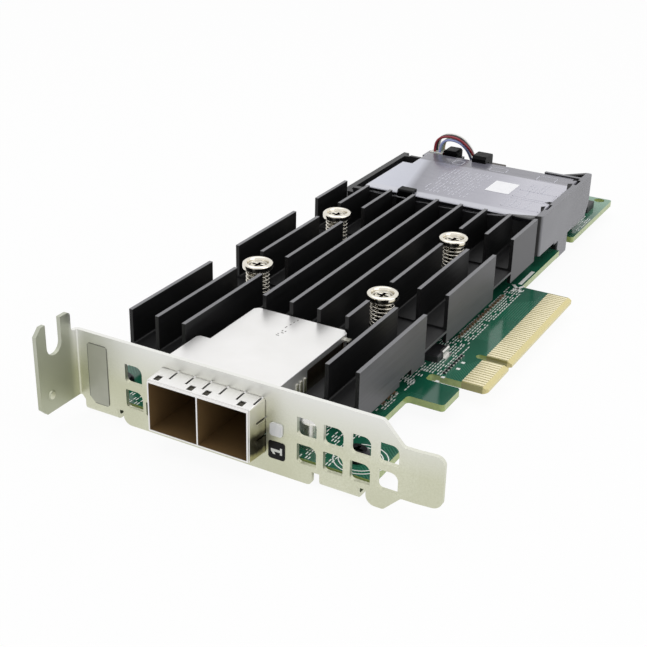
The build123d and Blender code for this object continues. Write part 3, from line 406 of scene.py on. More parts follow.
# The tab is painted darker than the face away from its fold, as painted shade
tab_shade_ramp = add_node(
    tree,
    "ShaderNodeMapRange",
    {},
    {0: parts.outputs["Y"], 1: at(0, -SHEET, 0).y, 2: at(0, -TAB_SHADE_TO, 0).y, 3: 0.0, 4: 0.75},
)
tabbed = add_node(
    tree, "ShaderNodeMath", {"operation": "LESS_THAN"}, {0: parts.outputs["X"], 1: at(TAB_MARGIN, 0, 0).x}
)
tab_shade = add_node(
    tree, "ShaderNodeMath", {"operation": "MULTIPLY"}, {0: tab_shade_ramp.outputs[0], 1: tabbed.outputs[0]}
)
plated = add_node(
    tree,
    "ShaderNodeMix",
    {"data_type": "RGBA"},
    {"Factor": tab_shade.outputs[0], 6: plated.outputs[2], 7: colour("#a3a792")},
)
rough = add_node(tree, "ShaderNodeMapRange", {}, {0: grain.outputs[0], 1: 0.3, 2: 0.7, 3: 0.34, 4: 0.46})
relief = add_node(
    tree, "ShaderNodeBump", {}, {"Height": grain.outputs[0], "Distance": 0.00001, "Strength": 0.5}
)
surface = add_node(
    tree,
    "ShaderNodeBsdfPrincipled",
    {},
    {
        "Base Color": plated.outputs[2],
        "Metallic": 0.85,
        "Roughness": rough.outputs[0],
        "Normal": relief.outputs[0],
    },
)
add_node(tree, "ShaderNodeOutputMaterial", {}, {"Surface": surface.outputs[0]})
dress(zinc, "bracket")


def keep(name, mesh, finish):
    """Makes a finished mesh one of the card's pieces."""
    piece = bpy.data.objects.new(name, mesh)
    bpy.context.collection.objects.link(piece)
    mesh.materials.clear()
    mesh.materials.append(finish)
    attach(piece, "root")
    return piece


def as_mesh(name, shape):
    """Gives a built shape as a mesh and frees it."""
    mesh = bpy.data.meshes.new(name)
    shape.to_mesh(mesh)
    shape.free()
    return mesh


def turned_mesh(name, profile, steps=48):
    """Spins a profile of radius and height, in millimetres, about the Z axis."""
    shape = bmesh.new()
    rim = [shape.verts.new((radius / 1000, 0, height / 1000)) for radius, height in profile]
    edges = [shape.edges.new(pair) for pair in zip(rim, rim[1:])]
    bmesh.ops.spin(
        shape,
        geom=rim + edges,
        cent=(0, 0, 0),
        axis=(0, 0, 1),
        angle=tau,
        steps=steps,
        use_duplicate=False,
    )
    bmesh.ops.remove_doubles(shape, verts=shape.verts, dist=1e-6)
    bmesh.ops.recalc_face_normals(shape, faces=shape.faces)
    for face in shape.faces:
        face.smooth = True
    return as_mesh(name, shape)


# A dimple pressed from behind stands out of the tab's inner face
DIMPLE_RADIUS, DIMPLE_RISE, DIMPLE_SUNK = 1.1, 0.45, 0.02
DIMPLE_PLACE = (0, -8.6, 7.4)
dimple = turned_mesh(
    "tab_dimple",
    [
        (DIMPLE_RADIUS * sin(radians(15 * i)), DIMPLE_RISE * cos(radians(15 * i)) - DIMPLE_SUNK)
        for i in range(7)
    ],
    32,
)
dimple.transform(Matrix.Translation(at(*DIMPLE_PLACE)) @ Matrix.Rotation(pi / 2, 4, "Y"))
keep("tab_dimple", dimple, zinc)

# Bracket screws
# Pan-head machine screws with a black oxide finish, run into the bosses of the bracket's ears.
def mottled(name, grain, detail, dark, pale, sockets):
    """Makes a finish of two near tones, mixed by grains of a size in millimetres."""
    finish, tree, where = material(name)
    grains = add_node(
        tree, "ShaderNodeTexNoise", {}, {"Vector": where, "Scale": 1000 / grain, "Detail": detail}
    )
    tone = add_node(
        tree,
        "ShaderNodeMix",
        {"data_type": "RGBA"},
        {"Factor": grains.outputs[0], 6: colour(dark), 7: colour(pale)},
    )
    surface = add_node(tree, "ShaderNodeBsdfPrincipled", {}, {"Base Color": tone.outputs[2], **sockets})
    add_node(tree, "ShaderNodeOutputMaterial", {}, {"Surface": surface.outputs[0]})
    return finish


oxide = mottled("black_oxide_steel", 0.9, 2.0, "#1d1d1f", "#3a3a3d", {"Metallic": 0.9, "Roughness": 0.35})
dress(oxide, "bracket_screws")

# Name plate and port number
# Two self-adhesive polyester labels: one grey and bare, one black with the port's number in white.
film_grey, tree, where = material("grey_polyester_label")
tone = add_node(tree, "ShaderNodeTexNoise", {}, {"Vector": where, "Scale": 1000 / 3, "Detail": 2.0})
shade = add_node(
    tree,
    "ShaderNodeMix",
    {"data_type": "RGBA"},
    {"Factor": tone.outputs[0], 6: colour("#adaea0"), 7: colour("#bbbcae")},
)
# Its cut edge is darker, in a thin band
EDGE_BAND = 0.14
parts = add_node(tree, "ShaderNodeSeparateXYZ", {}, {0: where})
plate_low, plate_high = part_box("name_plate")
edges = []
for index, axis in ((0, "X"), (2, "Z")):
    for operation, limit in (
        ("LESS_THAN", plate_low[index] + EDGE_BAND / 1000),
        ("GREATER_THAN", plate_high[index] - EDGE_BAND / 1000),
    ):
        tested = add_node(
            tree, "ShaderNodeMath", {"operation": operation}, {0: parts.outputs[axis], 1: limit}
        )
        edges.append(tested.outputs[0])
border = edges[0]
for edge in edges[1:]:
    border = add_node(tree, "ShaderNodeMath", {"operation": "MAXIMUM"}, {0: border, 1: edge}).outputs[0]
shade = add_node(
    tree,
    "ShaderNodeMix",
    {"data_type": "RGBA"},
    {"Factor": border, 6: shade.outputs[2], 7: colour("#6d6e66")},
)
surface = add_node(
    tree,
    "ShaderNodeBsdfPrincipled",
    {},
    {"Base Color": shade.outputs[2], "Roughness": 0.42, "Metallic": 0.25},
)
add_node(tree, "ShaderNodeOutputMaterial", {}, {"Surface": surface.outputs[0]})
dress(film_grey, "name_plate")

film_black = hazed(
    "black_printed_label", 0.7, 2.0, 0.32, 0.42,
    {"Base Color": colour("#0a0a0b"), "Specular IOR Level": 0.15},
)
dress(film_black, "port_number_plate")

ink = mottled("white_screen_ink", 0.6, 2.0, "#dfe2dd", "#f5f6f3", {"Roughness": 0.6})

INK = 0.03


def printed(name, outlines, place, finish):
    """Extrudes flat outlines, each a list of points in millimetres, by the ink's thickness."""
    shape = bmesh.new()
    for outline in outlines:
        face = shape.faces.new([shape.verts.new(place(*point)) for point in outline])
        made = bmesh.ops.extrude_face_region(shape, geom=[face])
        lifted = [v for v in made["geom"] if isinstance(v, bmesh.types.BMVert)]
        bmesh.ops.translate(shape, verts=lifted, vec=place(0, 0, INK) - place(0, 0, 0))
    bmesh.ops.recalc_face_normals(shape, faces=shape.faces)
    keep(name, as_mesh(name, shape), finish)


NUMBER_MIDDLE = (46.65, 5.15)
STEM, DIGIT_HALF = 0.27, 1.2
FOOT_HALF, FOOT_THICK, FLAG_DROP = 0.75, 0.42, 0.85
PLATE_THICK = 0.1
# The digit lies on its side: its foot is to the right, and its flag points down
digit = [
    (DIGIT_HALF, -FOOT_HALF),
    (DIGIT_HALF, FOOT_HALF),
    (DIGIT_HALF - FOOT_THICK, FOOT_HALF),
    (DIGIT_HALF - FOOT_THICK, STEM),
    (-DIGIT_HALF, STEM),
    (-DIGIT_HALF, -STEM),
    (-DIGIT_HALF + 0.5, -FLAG_DROP),
    (-DIGIT_HALF + 0.95, -FLAG_DROP),
    (-DIGIT_HALF + 0.7, -STEM),
    (DIGIT_HALF - FOOT_THICK, -STEM),
    (DIGIT_HALF - FOOT_THICK, -FOOT_HALF),
]
printed(
    "port_number",
    [digit],
    lambda x, z, out=0: at(NUMBER_MIDDLE[0] + x, -PLATE_THICK - out, NUMBER_MIDDLE[1] + z),
    ink,
)

# Light pipe and its light
# Clear polycarbonate, moulded: a little milky, with faint streaks along its height, and coloured near
# white as a painted highlight.
clear, tree, where = material("clear_polycarbonate")
drawn = add_node(tree, "ShaderNodeMapping", {}, {"Vector": where, "Scale": (1, 1, 0.2)})
streak = add_node(tree, "ShaderNodeTexNoise", {}, {"Vector": drawn.outputs[0], "Scale": 1000 / 0.5})
# The near-white colour is a painted highlight, for the light that the clear pipe catches
shade = add_node(
    tree,
    "ShaderNodeMix",
    {"data_type": "RGBA"},
    {"Factor": streak.outputs[0], 6: colour("#e2e4e7"), 7: colour("#ffffff")},
)
surface = add_node(
    tree,
    "ShaderNodeBsdfPrincipled",
    {},
    {"Base Color": shade.outputs[2], "Roughness": 0.2, "IOR": 1.58, "Transmission Weight": 0.1},
)
add_node(tree, "ShaderNodeOutputMaterial", {}, {"Surface": surface.outputs[0]})
dress(clear, "light_pipe")

resin = mottled("white_lamp_resin", 0.4, 2.0, "#e4e2d2", "#f5f4ea", {"Roughness": 0.3, "IOR": 1.5})
dress(resin, "status_led")

# Port cage and collar
# Tinplate, 0.3 mm, folded and left bright: almost white where it faces the light, mirror-like on its
# sides, with faint rolling lines along its length. Inside the bays and under the collar it is painted dark
# as painted shade.
CAGE_LEFT, CAGE_RIGHT, CAGE_TOP, CAGE_NOSE, COLLAR_FRONT = 21.1, 43.7, 15.12, 5.4, 4.9
WALL_MIDDLE, BAY_END = 0.15, 40
COLLAR_CLEAR, COLLAR_REAR, LIP = 0.12, 0.3, 0.1
SIDE_LOW, SIDE_HIGH = 3.5, 15.6

tin, tree, where = material("bright_tinplate")
parts = add_node(tree, "ShaderNodeSeparateXYZ", {}, {0: where})
drawn = add_node(tree, "ShaderNodeMapping", {}, {"Vector": where, "Scale": (1, 0.04, 1)})
lines = add_node(
    tree, "ShaderNodeTexNoise", {}, {"Vector": drawn.outputs[0], "Scale": 1000 / 0.5, "Detail": 2.0}
)
cloud = add_node(tree, "ShaderNodeTexNoise", {}, {"Vector": where, "Scale": 1000 / 6, "Detail": 2.0})
tone = add_node(
    tree,
    "ShaderNodeMix",
    {"data_type": "RGBA"},
    {"Factor": cloud.outputs[0], 6: colour("#e9e8e6"), 7: colour("#f3f2f1")},
)
rough = add_node(tree, "ShaderNodeMapRange", {}, {0: lines.outputs[0], 1: 0.3, 2: 0.7, 3: 0.34, 4: 0.38})
# The first box holds the bays, and the second what the collar covers: both are painted dark as painted
# shade, brown in the bays
painted_shade_boxes = []
for low_corner, high_corner in (
    (
        (CAGE_LEFT + WALL_MIDDLE, -CAGE_NOSE + LIP, BOARD_TOP + WALL_MIDDLE),
        (CAGE_RIGHT - WALL_MIDDLE, BAY_END, CAGE_TOP - WALL_MIDDLE),
    ),
    (
        (CAGE_LEFT - COLLAR_CLEAR, -COLLAR_FRONT + LIP, 0),
        (CAGE_RIGHT + COLLAR_CLEAR, COLLAR_REAR, CAGE_TOP + COLLAR_CLEAR),
    ),
):
    limits = []
    for axis, low, high in zip("XYZ", at(*low_corner), at(*high_corner)):
        for operation, limit in (("GREATER_THAN", low), ("LESS_THAN", high)):
            tested = add_node(
                tree, "ShaderNodeMath", {"operation": operation}, {0: parts.outputs[axis], 1: limit}
            )
            limits.append(tested.outputs[0])
    held = limits[0]
    for limit in limits[1:]:
        held = add_node(tree, "ShaderNodeMath", {"operation": "MULTIPLY"}, {0: held, 1: limit}).outputs[0]
    painted_shade_boxes.append(held)
skin = add_node(
    tree,
    "ShaderNodeMix",
    {"data_type": "RGBA"},
    {"Factor": painted_shade_boxes[1], 6: tone.outputs[2], 7: colour("#2b2719")},
)
skin = add_node(
    tree,
    "ShaderNodeMix",
    {"data_type": "RGBA"},
    {"Factor": painted_shade_boxes[0], 6: skin.outputs[2], 7: colour("#7d6442")},
)
# The collar's right side is seen end on, where it mirrors the dark below it in an uneven band
height = add_node(
    tree, "ShaderNodeMapRange", {}, {0: parts.outputs["Z"], 1: SIDE_LOW / 1000, 2: SIDE_HIGH / 1000}
)
ripple = add_node(tree, "ShaderNodeTexNoise", {}, {"Vector": where, "Scale": 1000 / 2.4, "Detail": 2.0})
shifted = add_node(
    tree,
    "ShaderNodeMath",
    {"operation": "MULTIPLY_ADD"},
    {0: ripple.outputs[0], 1: 0.16, 2: height.outputs[0]},
)
mirror = add_node(tree, "ShaderNodeValToRGB", {}, {0: shifted.outputs[0]})
ramp = mirror.color_ramp.elements
ramp[0].position, ramp[0].color = 0.1, colour("#b5b083")
ramp[1].position, ramp[1].color = 1.0, colour("#dedcd0")
for place, code in (
    (0.19, "#a9a477"),
    (0.24, "#2c2917"),
    (0.52, "#3a3622"),
    (0.6, "#aeab8c"),
    (0.78, "#cbc9b3"),
):
    stop = ramp.new(place)
    stop.color = colour(code)
sided = add_node(
    tree,
    "ShaderNodeMath",
    {"operation": "GREATER_THAN"},
    {0: parts.outputs["X"], 1: at(CAGE_RIGHT + LIP, 0, 0).x},
)
skin = add_node(
    tree,
    "ShaderNodeMix",
    {"data_type": "RGBA"},
    {"Factor": sided.outputs[0], 6: skin.outputs[2], 7: mirror.outputs[0]},
)
shaded = add_node(tree, "ShaderNodeMath", {"operation": "MAXIMUM"}, {0: painted_shade_boxes[0], 1: painted_shade_boxes[1]})
metallic = add_node(tree, "ShaderNodeMapRange", {}, {0: shaded.outputs[0], 3: 0.75, 4: 0.15})
surface = add_node(
    tree,
    "ShaderNodeBsdfPrincipled",
    {},
    {"Base Color": skin.outputs[2], "Metallic": metallic.outputs[0], "Roughness": rough.outputs[0]},
)
add_node(tree, "ShaderNodeOutputMaterial", {}, {"Surface": surface.outputs[0]})
dress(tin, "port_cage", "cage_collar")

# Painted shade in the small slits of the cage's top, and in the row of small dents behind the bracket
DENT_LEFT, DENT_FRONT, DENT_PITCH, DENT_COUNT = 22.4, 4.6, 1.3, 16
DENT_WIDTH, DENT_LENGTH = 0.7, 0.12

# These grey marks are painted shade, standing in for the shade inside the slits and dents
slit_shade = mottled("painted_slit_shade", 0.4, 2.0, "#4b4a46", "#8d8c88", {"Roughness": 0.5})


def rectangle(left, near, right, far):
    """Gives a rectangle's four corners on a level face."""
    return [(left, near), (right, near), (right, far), (left, far)]


def laid_on(level):
    """Gives the function that sets a flat point, or one above it, on a level face of the card."""
    return lambda x, y, out=0: at(x, y, level + out)


slit_shades = [
    rectangle(x, y, x + wide, y + long)
    for x, y, wide, long in (
        (31.7, 24.2, 0.7, 0.22),
        (31.7, 24.9, 0.3, 0.22),
        (32.1, 25.6, 0.6, 0.22),
        (31.8, 26.3, 0.25, 0.5),
        (32.5, 26.4, 0.25, 0.4),
        (31.6, 28.0, 0.2, 0.8),
        (31.8, 29.6, 0.2, 0.5),
        (31.9, 30.9, 0.2, 0.5),
        (32.1, 32.0, 0.2, 0.6),
        *[(DENT_LEFT + DENT_PITCH * i, DENT_FRONT, DENT_WIDTH, DENT_LENGTH) for i in range(DENT_COUNT)],
    )
]
printed("cage_slit_shades", slit_shades, laid_on(CAGE_TOP), slit_shade)

# Receptacles
# Glass-filled polymer, moulded in black: a dull face with a brownish cast inside the metal bays.
polymer, tree, where = material("black_glass_filled_polymer")
fibre = add_node(tree, "ShaderNodeTexNoise", {}, {"Vector": where, "Scale": 1000 / 0.5, "Detail": 3.0})
shade = add_node(
    tree,
    "ShaderNodeMix",
    {"data_type": "RGBA"},
    {"Factor": fibre.outputs[0], 6: colour("#1c140c"), 7: colour("#33271a")},
)
rough = add_node(tree, "ShaderNodeMapRange", {}, {0: fibre.outputs[0], 1: 0.3, 2: 0.7, 3: 0.38, 4: 0.52})
surface = add_node(
    tree,
    "ShaderNodeBsdfPrincipled",
    {},
    {"Base Color": shade.outputs[2], "Roughness": rough.outputs[0], "IOR": 1.55},
)
add_node(tree, "ShaderNodeOutputMaterial", {}, {"Surface": surface.outputs[0]})
dress(polymer, "port_1_receptacle", "port_2_receptacle", "board_header")

# Heat sink
# Extruded aluminium, sawn and black anodised: fine die lines run along the fins, the fins' tops are
# painted grey as a painted highlight, and the outer face is painted paler over its brush lines, as a
# painted reflection.
SINK_RIGHT, FIN_TOPS_FROM = 56.63, 18.15

anodised, tree, where = material("black_anodised_aluminium")
parts = add_node(tree, "ShaderNodeSeparateXYZ", {}, {0: where})
drawn = add_node(tree, "ShaderNodeMapping", {}, {"Vector": where, "Scale": (1, 0.03, 1)})
lines = add_node(
    tree, "ShaderNodeTexNoise", {}, {"Vector": drawn.outputs[0], "Scale": 1000 / 0.45, "Detail": 4.0}
)
share = add_node(tree, "ShaderNodeMapRange", {}, {0: lines.outputs[0], 1: 0.25, 2: 0.75, 3: 0.0, 4: 1.0})
black = add_node(
    tree,
    "ShaderNodeMix",
    {"data_type": "RGBA"},
    {"Factor": share.outputs[0], 6: colour("#0c0c0d"), 7: colour("#161617")},
)
# Painted reflection: the outer face is painted a paler grey, where it mirrors the white room, over its
# real brush lines
brushed_and_sheen = add_node(
    tree,
    "ShaderNodeMix",
    {"data_type": "RGBA"},
    {"Factor": share.outputs[0], 6: colour("#3d3d40"), 7: colour("#565659")},
)
outer = add_node(
    tree,
    "ShaderNodeMath",
    {"operation": "GREATER_THAN"},
    {0: parts.outputs["X"], 1: at(SINK_RIGHT - NEAR_FACE, 0, 0).x},
)
# Painted highlight: the fins' tops are painted grey, where the overhead light falls on them
top = add_node(
    tree,
    "ShaderNodeMath",
    {"operation": "GREATER_THAN"},
    {0: parts.outputs["Z"], 1: FIN_TOPS_FROM / 1000},
)
sided = add_node(
    tree,
    "ShaderNodeMix",
    {"data_type": "RGBA"},
    {"Factor": outer.outputs[0], 6: black.outputs[2], 7: brushed_and_sheen.outputs[2]},
)
topped = add_node(
    tree,
    "ShaderNodeMix",
    {"data_type": "RGBA"},
    {"Factor": top.outputs[0], 6: sided.outputs[2], 7: colour("#77777a")},
)
rough = add_node(tree, "ShaderNodeMapRange", {}, {0: lines.outputs[0], 1: 0.3, 2: 0.7, 3: 0.38, 4: 0.5})
relief = add_node(
    tree, "ShaderNodeBump", {}, {"Height": lines.outputs[0], "Distance": 0.00001, "Strength": 0.5}
)
surface = add_node(
    tree,
    "ShaderNodeBsdfPrincipled",
    {},
    {
        "Base Color": topped.outputs[2],
        "Roughness": rough.outputs[0],
        "Specular IOR Level": 0.35,
        "Normal": relief.outputs[0],
    },
)
add_node(tree, "ShaderNodeOutputMaterial", {}, {"Surface": surface.outputs[0]})
dress(anodised, "heat_sink")

# Heat-sink screws, springs and nuts
# Shoulder screws turned from steel and nickel plated: a bright raised rim round a dished, crossed
# head. Each presses the sink down through a coil of plated spring wire, into a nut under the board.
SCREW_LEFT, SCREW_FRONT = 12.1, 48.9
SCREW_SPAN, SCREW_REACH = 31.4, 37.2
SCREW_MIDDLE = (SCREW_LEFT + SCREW_SPAN / 2, SCREW_FRONT + SCREW_REACH / 2)
HEAD_RADIUS, HEAD_TOP, HEAD_BASE = 3.5, 18.0, 16.5
HEAD_FROM, RECESS_TOP, RECESS_RADIUS = 16.55, 17.15, 1.45
SPRING_RADIUS, SPRING_WIRE, SPRING_FOOT = 2.55, 0.38, 10.1
SPRING_TURNS = 6.5

nickel, tree, where = material("bright_nickel_plate")
haze = add_node(tree, "ShaderNodeTexNoise", {}, {"Vector": where, "Scale": 1000 / 0.8, "Detail": 3.0})
rough = add_node(tree, "ShaderNodeMapRange", {}, {0: haze.outputs[0], 1: 0.3, 2: 0.7, 3: 0.1, 4: 0.2})
# Folding the card's plan about its middle lays the four screws on each other, so one radius serves all
parts = add_node(tree, "ShaderNodeSeparateXYZ", {}, {0: where})
folded = []
for axis, middle, span in zip("XY", at(*SCREW_MIDDLE, 0), (SCREW_SPAN, SCREW_REACH)):
    off = add_node(tree, "ShaderNodeMath", {"operation": "SUBTRACT"}, {0: parts.outputs[axis], 1: middle})
    aside = add_node(tree, "ShaderNodeMath", {"operation": "ABSOLUTE"}, {0: off.outputs[0]})
    beyond = add_node(
        tree, "ShaderNodeMath", {"operation": "SUBTRACT"}, {0: aside.outputs[0], 1: span / 2000}
    )
    folded.append(beyond.outputs[0])
spoke = add_node(tree, "ShaderNodeCombineXYZ", {}, {0: folded[0], 1: folded[1]})
radius = add_node(tree, "ShaderNodeVectorMath", {"operation": "LENGTH"}, {0: spoke.outputs[0]})
reach = add_node(
    tree, "ShaderNodeMapRange", {}, {0: radius.outputs["Value"], 1: 0.0, 2: HEAD_RADIUS / 1000}
)
# Painted shade: the dish's wall is painted darker than its rim and floor, for the shade in the recess
dish_shade = add_node(tree, "ShaderNodeValToRGB", {}, {0: reach.outputs[0]})
ramp = dish_shade.color_ramp.elements
ramp[0].position, ramp[0].color = 0.0, colour("#cfcbc1")
ramp[1].position, ramp[1].color = 0.7, colour("#e2ddd1")
for place, code in ((0.48, "#dad6cc"), (0.53, "#8a857b"), (0.63, "#77726a")):
    stop = ramp.new(place)
    stop.color = colour(code)
# Painted shade: the cross's slots are painted dark
deep = add_node(
    tree, "ShaderNodeMath", {"operation": "LESS_THAN"}, {0: parts.outputs["Z"], 1: RECESS_TOP / 1000}
)
inner = add_node(
    tree,
    "ShaderNodeMath",
    {"operation": "LESS_THAN"},
    {0: radius.outputs["Value"], 1: RECESS_RADIUS / 1000},
)
cross_shade = add_node(
    tree, "ShaderNodeMath", {"operation": "MULTIPLY"}, {0: deep.outputs[0], 1: inner.outputs[0]}
)
skin = add_node(
    tree,
    "ShaderNodeMix",
    {"data_type": "RGBA"},
    {"Factor": cross_shade.outputs[0], 6: dish_shade.outputs[0], 7: colour("#4f4b44")},
)
headed = add_node(
    tree, "ShaderNodeMath", {"operation": "GREATER_THAN"}, {0: parts.outputs["Z"], 1: HEAD_FROM / 1000}
)
skin = add_node(
    tree,
    "ShaderNodeMix",
    {"data_type": "RGBA"},
    {"Factor": headed.outputs[0], 6: colour("#dcd7cb"), 7: skin.outputs[2]},
)
surface = add_node(
    tree,
    "ShaderNodeBsdfPrincipled",
    {},
    {"Base Color": skin.outputs[2], "Metallic": 1.0, "Roughness": rough.outputs[0]},
)
add_node(tree, "ShaderNodeOutputMaterial", {}, {"Surface": surface.outputs[0]})


def new_tree(name, inputs):
    """Starts a Geometry Nodes tree with the geometry that it repeats and its named inputs."""
    tree = bpy.data.node_groups.new(name, "GeometryNodeTree")
    tree.interface.new_socket("Geometry", in_out="INPUT", socket_type="NodeSocketGeometry")
    for label, kind in inputs:
        tree.interface.new_socket(label, in_out="INPUT", socket_type=f"NodeSocket{kind}")
    tree.interface.new_socket("Geometry", in_out="OUTPUT", socket_type="NodeSocketGeometry")
    return tree, add_node(tree, "NodeGroupInput").outputs


def grown(name, tree, mesh, values):
    """Runs a tree on a mesh and gives the result as a plain mesh."""
    carrier = bpy.data.objects.new(name, mesh or bpy.data.meshes.new(name))
    bpy.context.collection.objects.link(carrier)
    modifier = carrier.modifiers.new(name, "NODES")
    modifier.node_group = tree
    for item in tree.interface.items_tree:
        if item.in_out == "INPUT" and item.name in values:
            modifier[item.identifier] = values[item.name]
    graph = bpy.context.evaluated_depsgraph_get()
    made = bpy.data.meshes.new_from_object(carrier.evaluated_get(graph), depsgraph=graph)
    bpy.data.objects.remove(carrier)
    made.name = name
    return made


# Repeats a shape in columns and rows about a middle, and may leave some places empty by a fixed seed
rows_tree, given = new_tree(
    "set_out_in_rows",
    [
        ("Middle", "Vector"),
        ("Columns", "Int"),
        ("Rows", "Int"),
        ("Column pitch", "Float"),
        ("Row pitch", "Float"),
        ("Kept", "Float"),
        ("Seed", "Int"),
        ("Finish", "Material"),
    ],
)
lines = []
for count, pitch, axis in (("Columns", "Column pitch", "X"), ("Rows", "Row pitch", "Y")):
    gaps = add_node(rows_tree, "ShaderNodeMath", {"operation": "SUBTRACT"}, {0: given[count], 1: 1.0})
    span = add_node(
        rows_tree, "ShaderNodeMath", {"operation": "MULTIPLY"}, {0: gaps.outputs[0], 1: given[pitch]}
    )
    back = add_node(rows_tree, "ShaderNodeMath", {"operation": "MULTIPLY"}, {0: span.outputs[0], 1: -0.5})
    start = add_node(rows_tree, "ShaderNodeCombineXYZ", {}, {axis: back.outputs[0]})
    step = add_node(rows_tree, "ShaderNodeCombineXYZ", {}, {axis: given[pitch]})
    lines.append(
        add_node(
            rows_tree,
            "GeometryNodeMeshLine",
            {"mode": "OFFSET"},
            {"Count": given[count], "Start Location": start.outputs[0], "Offset": step.outputs[0]},
        )
    )
crossed = add_node(
    rows_tree,
    "GeometryNodeInstanceOnPoints",
    {},
    {"Points": lines[0].outputs[0], "Instance": lines[1].outputs[0]},
)
stations = add_node(rows_tree, "GeometryNodeRealizeInstances", {}, {0: crossed.outputs[0]})
chance = add_node(
    rows_tree,
    "FunctionNodeRandomValue",
    {"data_type": "BOOLEAN"},
    {"Probability": given["Kept"], "Seed": given["Seed"]},
)
placed = add_node(
    rows_tree,
    "GeometryNodeInstanceOnPoints",
    {},
    {"Points": stations.outputs[0], "Instance": given["Geometry"], "Selection": chance.outputs[3]},
)
moved = add_node(
    rows_tree,
    "GeometryNodeTransform",
    {},
    {"Geometry": placed.outputs[0], "Translation": given["Middle"]},
)
solid = add_node(rows_tree, "GeometryNodeRealizeInstances", {}, {0: moved.outputs[0]})
finished = add_node(
    rows_tree, "GeometryNodeSetMaterial", {}, {"Geometry": solid.outputs[0], "Material": given["Finish"]}
)
add_node(rows_tree, "NodeGroupOutput", {}, {0: finished.outputs[0]})


def in_rows(
    name, mesh, middle, columns, rows, column_pitch, row_pitch, finish, kept=1.0, seed=1
):
    """Repeats a mesh in rows about a middle, in millimetres, as one piece, or a share of it at random."""
    made = grown(
        name,
        rows_tree,
        mesh,
        {
            "Middle": tuple(at(*middle)),
            "Columns": columns,
            "Rows": rows,
            "Column pitch": column_pitch / 1000,
            "Row pitch": row_pitch / 1000,
            "Kept": kept,
            "Seed": seed,
            "Finish": finish,
        },
    )
    return keep(name, made, finish)


head = turned_mesh(
    "shoulder_screw",
    [
        (0, 17.28),
        (1.55, 17.28),
        (1.72, 17.2),
        (1.8, 16.95),
        (2.3, 16.9),
        (2.42, 17.3),
        (2.5, 17.85),
        (2.62, 17.97),
        (2.75, HEAD_TOP),
        (3.05, HEAD_TOP),
        (3.32, 17.9),
        (3.46, 17.7),
        (HEAD_RADIUS, 17.45),
        (HEAD_RADIUS, 16.75),
        (3.42, 16.58),
        (3.3, HEAD_BASE),
        (1.95, HEAD_BASE),
        (1.95, 14.3),
        (1.45, 14.3),
        (1.45, 0.22),
        (0, 0.2),
    ],
)
# The cross is cut as two slots
SLOT_LENGTH, SLOT_WIDTH, SLOT_HEIGHT, SLOT_MIDDLE = 2.7, 0.7, 1.6, 17.3

cross = bmesh.new()
for length, width in ((SLOT_LENGTH, SLOT_WIDTH), (SLOT_WIDTH, SLOT_LENGTH)):
    made = bmesh.ops.create_cube(cross, size=1)
    bmesh.ops.scale(cross, verts=made["verts"], vec=(length / 1000, width / 1000, SLOT_HEIGHT / 1000))
    bmesh.ops.translate(cross, verts=made["verts"], vec=(0, 0, SLOT_MIDDLE / 1000))
cutter = bpy.data.objects.new("cross_cutter", as_mesh("cross_cutter", cross))
whole = bpy.data.objects.new("whole_screw", head)
for shape in (cutter, whole):
    bpy.context.collection.objects.link(shape)
cut = whole.modifiers.new("cross", "BOOLEAN")
cut.object = cutter
cut.use_self = True
graph = bpy.context.evaluated_depsgraph_get()
crossed_head = bpy.data.meshes.new_from_object(whole.evaluated_get(graph), depsgraph=graph)
for shape in (cutter, whole):
    bpy.data.objects.remove(shape)
start = (*SCREW_MIDDLE, 0)
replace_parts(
    in_rows("sink_screws", crossed_head, start, 2, 2, SCREW_SPAN, SCREW_REACH, nickel),
    "heat_sink_screws",
)

# One coil of wire, wound up a spiral, that the rows tree sets out at the four screws
coil_tree, given = new_tree(
    "wound_spring",
    [("Turns", "Float"), ("Coil radius", "Float"), ("Wire radius", "Float"), ("Height", "Float")],
)
spiral = add_node(
    coil_tree,
    "GeometryNodeCurveSpiral",
    {},
    {
        "Resolution": 28,
        "Rotations": given["Turns"],
        "Start Radius": given["Coil radius"],
        "End Radius": given["Coil radius"],
        "Height": given["Height"],
    },
)
ring = add_node(
    coil_tree, "GeometryNodeCurvePrimitiveCircle", {}, {"Resolution": 10, "Radius": given["Wire radius"]}
)
wire = add_node(
    coil_tree,
    "GeometryNodeCurveToMesh",
    {},
    {"Curve": spiral.outputs[0], "Profile Curve": ring.outputs[0], "Fill Caps": True},
)
smooth = add_node(coil_tree, "GeometryNodeSetShadeSmooth", {}, {0: wire.outputs[0]})
add_node(coil_tree, "NodeGroupOutput", {}, {0: smooth.outputs[0]})
coil = grown(
    "spring_coil",
    coil_tree,
    None,
    {
        "Turns": SPRING_TURNS,
        "Coil radius": SPRING_RADIUS / 1000,
        "Wire radius": SPRING_WIRE / 2000,
        "Height": (HEAD_BASE - SPRING_FOOT - SPRING_WIRE) / 1000,
    },
)
coil_start = (*SCREW_MIDDLE, SPRING_FOOT + SPRING_WIRE / 2)
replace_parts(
    in_rows("spring_coils", coil, coil_start, 2, 2, SCREW_SPAN, SCREW_REACH, nickel),
    "screw_springs",
)

nuts = hazed("zinc_plated_nuts", 0.6, 2.0, 0.25, 0.4, {"Base Color": colour("#b9b8b2"), "Metallic": 1.0})
dress(nuts, "heat_sink_nuts")

# Controller
# A bare nickel-plated copper lid on a green substrate, under a soft grey silicone pad.
lid = hazed(
    "nickel_plated_lid", 1.2, 2.0, 0.35, 0.45, {"Base Color": colour("#b8b7b0"), "Metallic": 0.95}
)
dress(lid, "controller_lid")

silicone = mottled("grey_silicone_pad", 1.5, 3.0, "#8d9298", "#a4a9ae", {"Roughness": 0.75, "IOR": 1.41})
dress(silicone, "thermal_pad")

